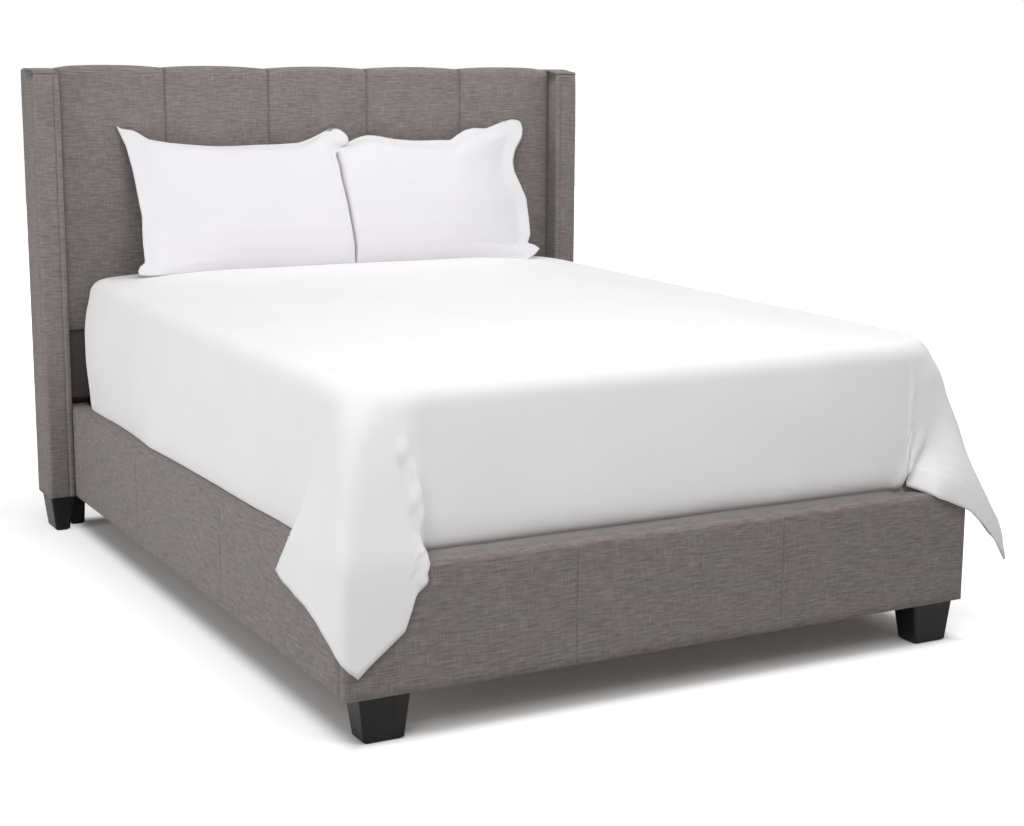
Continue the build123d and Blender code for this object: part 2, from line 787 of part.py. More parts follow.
# Centre beam on its two hangers
beam_y = (foot_frame_y + angle_thickness, frame_front_y - angle_thickness)
beam_holes = [((0, y, beam_bottom), up, stud_radius + hole_gap, stud_depth) for y in centre_leg_places]
board("centre_beam", (-beam_width / 2, beam_width / 2), beam_y, (beam_bottom, ledge_top), beam_holes)
with BuildPart() as hangers:
    for seat_y, into in hanger_seats:
        plate_y = tuple(sorted((seat_y, seat_y + into * angle_thickness)))
        reach_y = tuple(sorted((seat_y, seat_y + into * (angle_thickness + hanger_reach))))
        low = beam_bottom - angle_thickness
        outer = beam_width / 2 + angle_thickness
        box_in((-hanger_width / 2, hanger_width / 2), plate_y, (ledge_top - hanger_height, ledge_top))
        box_in((-outer, outer), reach_y, (low, beam_bottom))
        for side in sides.values():
            box_in(mirrored(side, beam_width / 2, outer), reach_y, (low, low + hanger_wall_height))
            for level in hanger_screw_levels:
                place = (side * hanger_screw_x, seat_y, level)
                drill(place, (0, into, 0), screw_radius + hole_gap, angle_thickness)
save(hangers.part, "beam_hangers")
with BuildPart() as hanger_screws:
    for seat_y, into in hanger_seats:
        for side in sides.values():
            for level in hanger_screw_levels:
                place = (side * hanger_screw_x, seat_y + into * angle_thickness, level)
                direction = (0, -into, 0)
                screw(place, direction, screw_radius, hanger_screw_length, screw_head_radius, screw_head_height)
save(hanger_screws.part, "hanger_screws")

# Centre legs, each with a threaded insert and a screw glide
place_names = ("foot", "middle", "head")
for place_name, leg_y in zip(place_names, centre_leg_places):
    with BuildPart() as centre_leg:
        half = centre_leg_width / 2
        box_in((-half, half), (leg_y - half, leg_y + half), (centre_leg_bottom, beam_bottom))
        drill((0, leg_y, centre_leg_bottom), up, insert_radius + hole_gap, insert_length)
        stem_room = stem_top + overrun - centre_leg_bottom
        drill((0, leg_y, centre_leg_bottom), up, insert_radius - running_gap, stem_room)
        drill((0, leg_y, beam_bottom), down, stud_radius + hole_gap, stud_depth)
    save(centre_leg.part, "centre_leg_" + place_name)
    with BuildPart() as glide_pad:
        rod((0, leg_y, 0), up, glide_radius, glide_height)
        chamfer(glide_pad.faces().sort_by(Axis.Z)[-1].edges(), glide_edge)
        drill((0, leg_y, glide_height), down, glide_socket_radius, glide_height - glide_socket_floor)
    save(glide_pad.part, "glide_pad_" + place_name)
    with BuildPart() as glide_stem:
        foot_height = glide_height - glide_socket_floor
        rod((0, leg_y, glide_socket_floor), up, glide_socket_radius - running_gap, foot_height)
        with BuildSketch(Plane.XY.offset(glide_height)):
            with Locations((0, leg_y)):
                RegularPolygon(collar_radius, 6)
        extrude(amount=collar_height)
        rod((0, leg_y, collar_top), up, stud_radius, stem_length)
    save(glide_stem.part, "glide_stem_" + place_name)
with BuildPart() as inserts:
    for leg_y in centre_leg_places:
        rod((0, leg_y, collar_top), up, insert_flange_radius, insert_flange_height)
        rod((0, leg_y, centre_leg_bottom), up, insert_radius, insert_length)
        drill((0, leg_y, collar_top), up, stud_radius + running_gap, insert_flange_height + insert_length)
save(inserts.part, "glide_inserts")
with BuildPart() as centre_studs:
    for leg_y in centre_leg_places:
        rod((0, leg_y, beam_bottom - stud_depth), up, stud_radius, 2 * stud_depth)
save(centre_studs.part, "centre_leg_studs")


def mattress_block(name, low, height, edge_radius):
    """A soft block with rounded corners, as wide and long as the mattress."""
    with BuildPart() as block:
        with BuildSketch(Plane.XY.offset(low)):
            with Locations((0, mattress_mid_y)):
                RectangleRounded(mattress_width, mattress_length, mattress_corner_radius)
        extrude(amount=height)
        fillet(block.faces().sort_by(Axis.Z)[0].edges(), edge_radius)
        fillet(block.faces().sort_by(Axis.Z)[-1].edges(), edge_radius)
    save(block.part, name)


mattress_block("foundation", foundation_bottom, foundation_height, foundation_edge_radius)
mattress_block("mattress", mattress_bottom, mattress_height, mattress_edge_radius)


def duvet_section(y, drop_share):
    """One cross section of the duvet: straight sides, round shoulders and a crowned top."""
    edge = duvet_edge_z - drop_share * duvet_end_drop
    reach = duvet_side - drop_share * duvet_corner_pull
    knee = duvet_edge_radius * (1 - cos(pi / 4))
    with BuildSketch(Plane.XZ.offset(-y)) as section:
        with BuildLine():
            Line((-reach, duvet_bottom), (-reach, edge - duvet_edge_radius))
            ThreePointArc(
                (-reach, edge - duvet_edge_radius),
                (-reach + knee, edge - knee),
                (-reach + duvet_edge_radius, edge),
            )
            ThreePointArc(
                (-reach + duvet_edge_radius, edge),
                (0, edge + duvet_crown),
                (reach - duvet_edge_radius, edge),
            )
            ThreePointArc(
                (reach - duvet_edge_radius, edge),
                (reach - knee, edge - knee),
                (reach, edge - duvet_edge_radius),
            )
            Line((reach, edge - duvet_edge_radius), (reach, duvet_bottom))
            Line((reach, duvet_bottom), (-reach, duvet_bottom))
        make_face()
    return section.sketch


def flap_section(side, height_share, side_share, foot_share, flare_share):
    """One level section of a hanging corner: a bent strip round the corner of the bed."""
    z = flap_tip_height + height_share * (flap_shoulder_height - flap_tip_height)
    along_rail = side_share * flap_side_run
    along_foot = foot_share * flap_foot_run
    rise_share = max(0, (z - flap_fold_height) / (flap_shoulder_height - flap_fold_height))
    stand_off = flap_flare_shares[side] * flare_share * flap_flare
    inner_x = half_width + flap_gap + stand_off
    inner_y = foot_y - flap_gap - flap_foot_flare_share * stand_off
    inner_x -= rise_share * (half_width + flap_gap - duvet_side + flap_thickness - skirt_gap)
    inner_y += rise_share * (duvet_foot_y + flap_thickness - skirt_gap - foot_y + flap_gap)
    outer_x = inner_x + flap_thickness
    outer_y = inner_y - flap_thickness
    outer_r = flap_corner_radius
    inner_r = flap_corner_radius - flap_thickness
    outer_knee = outer_r * (1 - cos(pi / 4))
    inner_knee = inner_r * (1 - cos(pi / 4))
    back_y = outer_y + along_rail
    end_x = outer_x - along_foot
    with BuildSketch(Plane.XY.offset(z)) as section:
        with BuildLine():
            Line((side * outer_x, back_y), (side * outer_x, outer_y + outer_r))
            ThreePointArc(
                (side * outer_x, outer_y + outer_r),
                (side * (outer_x - outer_knee), outer_y + outer_knee),
                (side * (outer_x - outer_r), outer_y),
            )
            Line((side * (outer_x - outer_r), outer_y), (side * end_x, outer_y))
            Line((side * end_x, outer_y), (side * end_x, inner_y))
            Line((side * end_x, inner_y), (side * (inner_x - inner_r), inner_y))
            ThreePointArc(
                (side * (inner_x - inner_r), inner_y),
                (side * (inner_x - inner_knee), inner_y + inner_knee),
                (side * inner_x, inner_y + inner_r),
            )
            Line((side * inner_x, inner_y + inner_r), (side * inner_x, back_y))
            Line((side * inner_x, back_y), (side * outer_x, back_y))
        make_face()
    return section.sketch


# Hanging corners, each as a block of its own that joins the duvet
duvet_corners = []
for side in sides.values():
    with BuildPart() as corner:
        loft([flap_section(side, *shares) for shares in flap_level_shares], ruled=True)
    duvet_corners.append(corner.part)

with BuildPart() as duvet:
    foot_ends = zip(foot_section_runs, foot_drop_shares)
    head_ends = zip(head_section_runs, head_drop_shares)
    sections = [duvet_section(duvet_foot_y + run, share) for run, share in foot_ends]
    sections += [duvet_section(duvet_head_y - run, share) for run, share in head_ends]
    loft(sections, ruled=True)
    # Sides and foot tucked down inside the rails
    skirt_x = rail_inner - skirt_gap
    skirt_foot_y = foot_inner_y + skirt_gap
    skirt_y = (skirt_foot_y, duvet_head_y - head_hem_pull)
    box_in((-skirt_x, skirt_x), skirt_y, (skirt_low, duvet_bottom))
    # Room for the mattress and its foundation
    hollow_x = mattress_x + soft_gap
    hollow_y = (mattress_foot_y - soft_gap, mattress_head_y + overrun)
    box_in((-hollow_x, hollow_x), hollow_y, (skirt_low - overrun, mattress_top + soft_gap), Mode.SUBTRACT)
    # The hem at the head end slants away from the mattress corner
    with BuildSketch(Plane.YZ.offset(-half_width)):
        with BuildLine():
            Polyline(
                (duvet_head_y + overrun, duvet_bottom + head_hem_rise),
                (duvet_head_y, duvet_bottom + head_hem_rise),
                (duvet_head_y - head_hem_pull, duvet_bottom),
                (duvet_head_y - head_hem_pull, skirt_low - overrun),
                (duvet_head_y + overrun, skirt_low - overrun),
                close=True,
            )
        make_face()
    extrude(amount=bed_width, mode=Mode.SUBTRACT)
    add(duvet_corners)
save(duvet.part, "duvet")


def pillow(name, side):
    """A crowned pillow with a thin flange round it, leaning back on the headboard."""
    lean = radians(pillow_lean)
    rise = Vector(0, sin(lean), cos(lean))
    facing = Vector(0, -cos(lean), sin(lean))
    centre_x = side * (pillow_width + pillow_gap) / 2
    thin = pillow_edge + pillow_edge_swell
    base_z = duvet_edge_z + duvet_crown + soft_gap + thin * sin(lean)
    base = Vector(centre_x, pad_y - pillow_foot_gap, base_z)
    half = pillow_width / 2
    seam = half - pillow_flange
    with BuildPart() as cushion:
        for height_share, swell_share in zip(pillow_height_shares, pillow_swell_shares):
            origin = base + rise * (height_share * pillow_height)
            swell = thin + swell_share * (pillow_half_thickness - thin)
            with BuildSketch(Plane(origin=origin, x_dir=(1, 0, 0), z_dir=rise)):
                with BuildLine():
                    Line((-half, -pillow_edge), (-seam, -pillow_edge))
                    ThreePointArc((-seam, -pillow_edge), (0, -swell), (seam, -pillow_edge))
                    Line((seam, -pillow_edge), (half, -pillow_edge))
                    Line((half, -pillow_edge), (half, pillow_edge))
                    Line((half, pillow_edge), (seam, pillow_edge))
                    ThreePointArc((seam, pillow_edge), (0, swell), (-seam, pillow_edge))
                    Line((-seam, pillow_edge), (-half, pillow_edge))
                    Line((-half, pillow_edge), (-half, -pillow_edge))
                make_face()
        loft(ruled=True)
        with BuildSketch(Plane(origin=base, x_dir=(1, 0, 0), z_dir=facing)):
            with BuildLine():
                ThreePointArc((-half, 0), (0, pillow_bottom_dip), (half, 0))
                ThreePointArc((half, 0), (half - pillow_side_dip, pillow_height / 2), (half, pillow_height))
                top_dip = pillow_height - pillow_top_dip
                ThreePointArc((half, pillow_height), (0, top_dip), (-half, pillow_height))
                ThreePointArc((-half, pillow_height), (pillow_side_dip - half, pillow_height / 2), (-half, 0))
            make_face()
        extrude(amount=2 * pillow_half_thickness, both=True, mode=Mode.INTERSECT)
    save(cushion.part, name)


for side_name, side in sides.items():
    pillow("pillow_" + side_name, side)
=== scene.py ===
# %% [markdown]
# # An upholstered bed, made up with its bedding
#
# They only need finishes. The soft pieces of the CAD model are plain solids, so each of them is made again
# here: the sewn covers of the rails, the footboard and the wings, the headboard's pads and back cloth, the
# straps, the foundation, the mattress, the duvet and the pillows.
#
# Every length is in metres. The bed lies along Y with its foot at low Y, and stands on Z = 0.

# %% Load the frame
import json
from math import acos, cos, exp, hypot, pi, radians, sin

import bmesh
import bpy
from mathutils import Matrix, Vector, noise


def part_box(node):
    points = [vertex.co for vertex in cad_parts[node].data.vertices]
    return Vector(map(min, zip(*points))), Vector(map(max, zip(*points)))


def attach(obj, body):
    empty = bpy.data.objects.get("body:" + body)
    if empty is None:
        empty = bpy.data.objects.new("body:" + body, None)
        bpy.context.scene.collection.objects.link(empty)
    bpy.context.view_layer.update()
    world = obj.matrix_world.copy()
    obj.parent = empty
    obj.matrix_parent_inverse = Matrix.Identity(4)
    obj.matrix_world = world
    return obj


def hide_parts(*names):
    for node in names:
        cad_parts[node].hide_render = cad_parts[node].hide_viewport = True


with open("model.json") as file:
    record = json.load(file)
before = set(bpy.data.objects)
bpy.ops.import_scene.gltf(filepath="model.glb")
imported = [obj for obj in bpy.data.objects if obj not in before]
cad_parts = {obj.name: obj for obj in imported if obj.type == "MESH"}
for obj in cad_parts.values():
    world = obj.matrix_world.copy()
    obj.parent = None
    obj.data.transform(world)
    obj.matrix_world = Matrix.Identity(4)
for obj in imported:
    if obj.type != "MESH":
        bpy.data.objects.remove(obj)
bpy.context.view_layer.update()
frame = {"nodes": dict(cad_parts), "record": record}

# %% Places that the frame gives
foot_low, foot_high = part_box("footboard_cover")
foot_y = foot_low.y
frame_half = foot_high.x
sides = (("left", -1), ("right", 1))
print("foot at", round(foot_y, 4), "half width", round(frame_half, 4))

# %% [markdown]
# ## The camera
#
# A photograph can be matched only if the camera stands where the photographer stood. Its place and its three
# turns were worked out beforehand from the straight edges of the bed: yaw turns it to the right, pitch tips it
# down, and roll is the small lean of the tripod. Three axes at right angles make its matrix.

# %% Set up the camera
camera_place = Vector((-2.2253, -4.4168, 1.3925))
camera_yaw, camera_pitch, camera_roll = radians(28.204), radians(-10.762), radians(0.268)
level = cos(camera_pitch)
forward = Vector((sin(camera_yaw) * level, cos(camera_yaw) * level, sin(camera_pitch)))
across = Vector((cos(camera_yaw), -sin(camera_yaw), 0.0))
upward = across.cross(forward)
right_axis = across * cos(camera_roll) + upward * sin(camera_roll)
up_axis = upward * cos(camera_roll) - across * sin(camera_roll)

lens = bpy.data.cameras.new("camera")
lens.lens = 64.78
lens.sensor_width = 36.0
camera = bpy.data.objects.new("camera", lens)
facing = Matrix((right_axis, up_axis, -forward)).transposed().to_4x4()
camera.matrix_world = Matrix.Translation(camera_place) @ facing
bpy.context.scene.collection.objects.link(camera)
bpy.context.scene.camera = camera
print("camera", [round(value, 3) for value in camera_place])

# %% [markdown]
# ## A few helpers for materials
#
# Each finish below is a small network of nodes. `add` makes a node, sets its options and fills its sockets, and
# `wire` joins two sockets. Effects that several finishes share are node groups, which hand on only colours,
# masks and heights, so that every material keeps its own shader.

# %% Node helpers
def add(tree, kind, options=None, **values):
    """Adds a node, sets its options, and sets its input sockets by name or number."""
    node = tree.nodes.new(kind)
    for key, value in (options or {}).items():
        setattr(node, key, value)
    for key, value in values.items():
        socket = node.inputs[int(key[1:])] if key[1:].isdigit() else node.inputs[key.replace("_", " ")]
        socket.default_value = value
    return node


def wire(tree, source, target):
    """Joins an output socket to an input socket."""
    tree.links.new(source, target)


def math_node(tree, operation, first, second=0.5, third=None):
    """A Math node whose inputs are sockets or numbers, and gives its output socket."""
    node = add(tree, "ShaderNodeMath", {"operation": operation})
    for slot, value in zip(node.inputs, (first, second, third)):
        if value is None:
            continue
        if isinstance(value, (int, float)):
            slot.default_value = value
        else:
            wire(tree, value, slot)
    return node.outputs[0]


def stretched_noise(tree, vector, scale, detail=2.0, roughness=0.5):
    """Noise that is stretched by a scale of its own along each axis."""
    mapping = add(tree, "ShaderNodeMapping", Scale=scale)
    wire(tree, vector, mapping.inputs["Vector"])
    cloud = add(tree, "ShaderNodeTexNoise", Scale=1.0, Detail=detail, Roughness=roughness)
    wire(tree, mapping.outputs["Vector"], cloud.inputs["Vector"])
    return cloud.outputs[0]


def ramp(tree, value, stops):
    """A colour ramp through (place, colour) stops."""
    node = add(tree, "ShaderNodeValToRGB")
    elements = node.color_ramp.elements
    while len(elements) < len(stops):
        elements.new(1.0)
    for element, (place, colour) in zip(elements, stops):
        element.position = place
        element.color = (*colour, 1.0)
    wire(tree, value, node.inputs[0])
    return node.outputs["Color"]


# %% [markdown]
# ## Shared groups
#
# Coarse cloth is a mix of noises that are stretched along one axis: fine weft threads, thicker ones here and
# there, and a broad mottle. Rare warp slubs cross them. Wood has long grain and much finer pores.

# %% Threads of a coarse woven cloth
def group_frame(name, outputs):
    """An empty group with a vector input, and its input and output nodes."""
    group = bpy.data.node_groups.new(name, "ShaderNodeTree")
    group.interface.new_socket("Vector", in_out="INPUT", socket_type="NodeSocketVector")
    for label in outputs:
        group.interface.new_socket(label, in_out="OUTPUT", socket_type="NodeSocketFloat")
    return group, group.nodes.new("NodeGroupInput").outputs[0], group.nodes.new("NodeGroupOutput").inputs


threads, along, thread_out = group_frame("threads", ("Tone", "Height"))
weft = stretched_noise(threads, along, (16.0, 330.0, 330.0), detail=3.0, roughness=0.62)
thick = stretched_noise(threads, along, (38.0, 150.0, 150.0), detail=2.0)
warp = stretched_noise(threads, along, (330.0, 22.0, 22.0), detail=2.0)
mottle = stretched_noise(threads, along, (9.0, 14.0, 14.0), detail=3.0)
slub = math_node(threads, "MULTIPLY_ADD", math_node(threads, "POWER", warp, 6.0), 1.5, -0.03)
tone = 0.0
for layer, weight in ((weft, 0.86), (thick, 0.46), (mottle, 0.16)):
    tone = math_node(threads, "MULTIPLY_ADD", layer, weight, tone)
tone = math_node(threads, "ADD", tone, slub)
wire(threads, math_node(threads, "SUBTRACT", tone, 0.26), thread_out["Tone"])
wire(threads, math_node(threads, "MULTIPLY_ADD", warp, 0.5, weft), thread_out["Height"])
print("group", threads.name, len(threads.nodes), "nodes")

# %% Grain of wood
grain, along, grain_out = group_frame("grain", ("Grain", "Pores"))
wire(grain, stretched_noise(grain, along, (7.0, 60.0, 60.0), detail=5.0, roughness=0.6), grain_out["Grain"])
wire(grain, stretched_noise(grain, along, (30.0, 600.0, 600.0), detail=2.0), grain_out["Pores"])
print("group", grain.name, len(grain.nodes), "nodes")

# %% [markdown]
# ## Finishes
#
# The covers of the bed are a mixed linen in warm grey. They carry their own UV map, in metres, so that threads
# run along each face. The other finishes read Object coordinates, because the CAD nodes have no UV map. The
# bedding is plain white cotton, and the pillow covers are a darker copy of it, whose darkening is painted shade.

# %% Material helpers
finishes = {}


def new_material(name, roughness, **sockets):
    """A material with one Principled shader and constants on its sockets. It is kept by its name."""
    material = bpy.data.materials.new(name)
    material.use_nodes = True
    finishes[name] = material
    shader = material.node_tree.nodes["Principled BSDF"]
    shader.inputs["Roughness"].default_value = roughness
    for key, value in sockets.items():
        shader.inputs[key.replace("_", " ")].default_value = value
    return material.node_tree, shader


def use_group(tree, group, vector):
    """Puts a shared group in a material."""
    node = add(tree, "ShaderNodeGroup")
    node.node_tree = group
    wire(tree, vector, node.inputs["Vector"])
    return node.outputs


def bump(tree, shader, height, strength, distance):
    """Feeds a height to the shader's normal through a Bump node."""
    node = add(tree, "ShaderNodeBump", Strength=strength, Distance=distance)
    wire(tree, height, node.inputs["Height"])
    wire(tree, node.outputs["Normal"], shader.inputs["Normal"])


def object_vector(tree):
    """Object coordinates."""
    return add(tree, "ShaderNodeTexCoord").outputs["Object"]


# %% Upholstery linen
# Broad bands shift the colour a little towards red or green, like threads of different dye lots.
linen_values = {"Sheen_Weight": 0.12, "Sheen_Roughness": 0.5, "Specular_IOR_Level": 0.25}
tree, shader = new_material("upholstery_linen", 0.86, **linen_values)
cloth_map = add(tree, "ShaderNodeUVMap", {"uv_map": "weave"})
weave = use_group(tree, threads, cloth_map.outputs["UV"])
batches = stretched_noise(tree, cloth_map.outputs["UV"], (5.0, 26.0, 26.0), detail=2.0)
linen_tones = [(0.26, (0.144, 0.124, 0.121)), (0.50, (0.221, 0.194, 0.190)), (0.80, (0.313, 0.281, 0.272))]
dye_lots = [(0.38, (1.0, 0.985, 0.985)), (0.62, (0.965, 1.0, 0.985))]
dyed = add(tree, "ShaderNodeMix", {"data_type": "RGBA", "blend_type": "MULTIPLY"}, Factor=1.0)
first_colour, second_colour, mixed_colour = dyed.inputs[6], dyed.inputs[7], dyed.outputs[2]
wire(tree, ramp(tree, weave["Tone"], linen_tones), first_colour)
wire(tree, ramp(tree, batches, dye_lots), second_colour)
wire(tree, mixed_colour, shader.inputs["Base Color"])
bump(tree, shader, weave["Height"], 0.35, 0.0012)
print("linen:", len(tree.nodes), "nodes")


# %% Plain cloths: bedding, ticking, panel cloth, near-black painted-shade sleeve and webbing
def woven(name, colour, roughness, pitch, strength, variation=0.03):
    """A fine plain cloth: crossing threads as bump, and soft broad variation in its colour."""
    values = {"Sheen_Weight": 0.15, "Sheen_Roughness": 0.45, "Specular_IOR_Level": 0.3}
    tree, shader = new_material(name, roughness, **values)
    place = object_vector(tree)
    broad = stretched_noise(tree, place, (5.0, 5.0, 5.0), detail=3.0)
    light = tuple(min(1.0, part * (1.0 + variation)) for part in colour)
    dark = tuple(part * (1.0 - variation) for part in colour)
    wire(tree, ramp(tree, broad, [(0.3, dark), (0.7, light)]), shader.inputs["Base Color"])
    fine = stretched_noise(tree, place, (pitch, pitch * 1.1, pitch * 0.9), detail=2.0)
    bump(tree, shader, fine, strength, 0.001)


woven("bedding_cotton", (0.888, 0.876, 0.884), 0.80, 420.0, 0.10, variation=0.012)
# A darker, slightly cooler copy of the bedding cotton for the pillows: its darkening is painted shade, which holds
# back the extra light on their upturned faces.
woven("pillow_cotton_painted_shade", (0.785, 0.771, 0.792), 0.80, 420.0, 0.10, variation=0.012)
woven("mattress_ticking", (0.76, 0.75, 0.73), 0.85, 260.0, 0.30)
woven("foundation_cloth", (0.66, 0.65, 0.62), 0.9, 300.0, 0.25)
woven("panel_cloth", (0.112, 0.099, 0.097), 0.95, 380.0, 0.35, variation=0.05)
# Near-black cloth for the sleeves over the headboard posts: painted shade that makes the slit below the panel read
# dark.
woven("post_sleeve_painted_shade", (0.012, 0.011, 0.011), 0.95, 380.0, 0.2, variation=0.05)
woven("webbing", (0.52, 0.49, 0.40), 0.8, 500.0, 0.5, variation=0.10)
print("cloths:", list(finishes))


# %% Woods
def wood(name, dark, light, roughness, pore_strength, axis_turn=(0.0, 0.0, 0.0), **sockets):
    """Planed wood: long grain that changes the colour, and fine pores as bump."""
    tree, shader = new_material(name, roughness, **sockets)
    turn = add(tree, "ShaderNodeMapping", Rotation=axis_turn)
    wire(tree, object_vector(tree), turn.inputs["Vector"])
    figure = use_group(tree, grain, turn.outputs["Vector"])
    wire(tree, ramp(tree, figure["Grain"], [(0.35, dark), (0.65, light)]), shader.inputs["Base Color"])
    bump(tree, shader, figure["Pores"], pore_strength, 0.0006)


quarter = pi / 2
upright, lengthwise = (0.0, quarter, 0.0), (0.0, 0.0, quarter)
wood("slat_wood", (0.50, 0.33, 0.17), (0.66, 0.48, 0.28), 0.6, 0.3)
wood("frame_wood", (0.36, 0.24, 0.12), (0.52, 0.37, 0.20), 0.7, 0.35, lengthwise)
stain, stain_light = (0.005, 0.004, 0.0045), (0.010, 0.009, 0.009)
wood("black_wood", stain, stain_light, 0.42, 0.2, upright, Specular_IOR_Level=0.20)
print("finishes so far:", len(finishes))


# %% Metals, rubber and plastic
def metal(name, colour, roughness, metallic, speckle):
    """A metal finish with a fine uneven surface and slightly varied roughness."""
    tree, shader = new_material(name, roughness, Metallic=metallic)
    place = object_vector(tree)
    broad = stretched_noise(tree, place, (40.0, 40.0, 40.0), detail=4.0)
    dark = tuple(part * 0.88 for part in colour)
    wire(tree, ramp(tree, broad, [(0.35, dark), (0.65, colour)]), shader.inputs["Base Color"])
    worn = add(tree, "ShaderNodeMapRange", To_Min=roughness * 0.85, To_Max=roughness * 1.15)
    wire(tree, broad, worn.inputs["Value"])
    wire(tree, worn.outputs["Result"], shader.inputs["Roughness"])
    bump(tree, shader, stretched_noise(tree, place, (900.0, 900.0, 900.0)), speckle, 0.0004)


metal("black_steel", (0.020, 0.020, 0.022), 0.45, 0.0, 0.5)
metal("zinc_steel", (0.60, 0.62, 0.64), 0.34, 1.0, 0.2)
metal("pad_rubber", (0.022, 0.022, 0.022), 0.85, 0.0, 0.6)
metal("glide_plastic", (0.030, 0.030, 0.032), 0.50, 0.0, 0.3)
print("finishes:", len(finishes))

# %% Give every CAD node the finish of its slot
for subpart in frame["record"]["subparts"]:
    node = frame["nodes"][subpart["node"]]
    if not node.material_slots:
        node.data.materials.append(None)
    for material_slot in node.material_slots:
        material_slot.material = finishes[subpart["material_slot"]]
print("finished", len(frame["nodes"]), "CAD nodes")

# %% [markdown]
# ## Helpers for sewn pieces
#
# A padded, sewn cover starts as a box. Its edges are rounded, then planes cut it into strips, closer together
# where a seam runs, so that there are vertices to move. Last, the padding swells a little between the seams and
# the seams pull in. Boxes and planes are simpler to follow than hand-made lists of faces.

# %% Modelling helpers
# A cover stays cover_gap off the solid behind it.
cover_gap = 0.0004


def on(value, place):
    """True where a coordinate lies on a plane, to a hundredth of a millimetre."""
    return abs(value - place) < 1e-5


def block(low, high, bm=None):
    """A box between two corners, in a new bmesh or as one more box in another."""
    low, high = Vector(low), Vector(high)
    bm = bmesh.new() if bm is None else bm
    verts = bmesh.ops.create_cube(bm, size=1.0)["verts"]
    bmesh.ops.scale(bm, vec=high - low, verts=verts)
    bmesh.ops.translate(bm, vec=(low + high) / 2, verts=verts)
    return bm


def cut(bm, axis, places):
    """Cuts a mesh with a plane across an axis at each place."""
    normal = Vector([float(i == "xyz".index(axis)) for i in range(3)])
    for place in places:
        geometry = bm.verts[:] + bm.edges[:] + bm.faces[:]
        bmesh.ops.bisect_plane(bm, geom=geometry, plane_co=normal * place, plane_no=normal, dist=1e-6)


def bevel(bm, edges, radius, segments):
    """Rounds edges to a circular profile."""
    bmesh.ops.bevel(
        bm, geom=edges, offset=radius, affect="EDGES", segments=segments, profile=0.5, material=-1
    )


def round_edges(bm, chosen, radius, segments=5):
    """Rounds the edges whose two ends both pass a test."""
    edges = [edge for edge in bm.edges if all(chosen(vertex.co) for vertex in edge.verts)]
    bevel(bm, edges, radius, segments)


def pull_out(bm, chosen, move):
    """Extrudes the faces whose centres pass a test."""
    faces = [face for face in bm.faces if chosen(face.calc_center_median(), face.normal)]
    grown = bmesh.ops.extrude_face_region(bm, geom=faces)["geom"]
    moved = [item for item in grown if isinstance(item, bmesh.types.BMVert)]
    bmesh.ops.translate(bm, vec=move, verts=moved)


def push(bm, rise):
    """Moves each vertex along its normal by rise(vertex), which is worked out for all before any of them moves."""
    bm.normal_update()
    for vertex, move in [(vertex, vertex.normal * rise(vertex)) for vertex in bm.verts]:
        vertex.co += move


def smooth(bm, verts, factor, upright=True):
    """Draws vertices towards their neighbours, sideways only if told so."""
    bmesh.ops.smooth_vert(
        bm, verts=verts, factor=factor, use_axis_x=True, use_axis_y=True, use_axis_z=upright
    )


def to_side(bm, side):
    """Mirrors a piece, made for the right side, when it is for the left."""
    if side < 0:
        bmesh.ops.scale(bm, vec=(-1.0, 1.0, 1.0), verts=bm.verts)


def stations(low, high, seams=(), step=0.03, near=(0.0012, 0.003, 0.006, 0.012)):
    """Places to cut: even steps, and closer ones on both sides of each seam."""
    count = max(1, round((high - low) / step))
    places = [low + (high - low) * i / count for i in range(1, count)]
    for seam in seams:
        places = [place for place in places if abs(place - seam) > near[-1] * 1.3]
        places += [seam] + [seam + way * offset for offset in near for way in (-1, 1)]
    return sorted(place for place in places if low + 0.001 < place < high - 0.001)


def smoothstep(low, high, value):
    """Rises smoothly from 0 at low to 1 at high."""
    share = min(1.0, max(0.0, (value - low) / (high - low)))
    return share * share * (3.0 - 2.0 * share)


def groove(distance, width=0.0022):
    """The shape of a pulled-in seam: 1 on it, nearly 0 a few widths away."""
    return exp(-((distance / width) ** 2))


def wander(place, scale, seed=0.0):
    """Smooth noise between about -1 and 1."""
    return noise.noise(Vector(place) * scale + Vector((seed, seed * 1.7, seed * 0.3)))


def weave_map(bm, long_axis="x"):
    """Lays the cloth's UV map on each face from the side that it faces, in metres."""
    layer = bm.loops.layers.uv.new("weave")
    bm.normal_update()
    for face in bm.faces:
        x, y, z = (abs(part) for part in face.normal)
        for loop in face.loops:
            co = loop.vert.co
            if z > max(x, y):
                run = (co.x, co.y) if long_axis == "x" else (co.y, co.x)
            else:
                run = (co.x, co.z) if y > x else (co.y, co.z)
            loop[layer].uv = run


def finish_piece(bm, name, node, slot="upholstery_linen", body="frame", long_axis="x", finish=""):
    """Turns a bmesh into a piece that rides on a body and takes the place of a CAD node."""
    bmesh.ops.recalc_face_normals(bm, faces=bm.faces)
    if slot == "upholstery_linen":
        weave_map(bm, long_axis)
    mesh = bpy.data.meshes.new(name)
    bm.to_mesh(mesh)
    bm.free()
    mesh.shade_smooth()
    mesh.materials.append(finishes[finish or slot])
    piece = bpy.data.objects.new(name, mesh)
    bpy.context.scene.collection.objects.link(piece)
    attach(piece, body)
    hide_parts(node)
    print(name, len(mesh.polygons), "faces")
    return piece


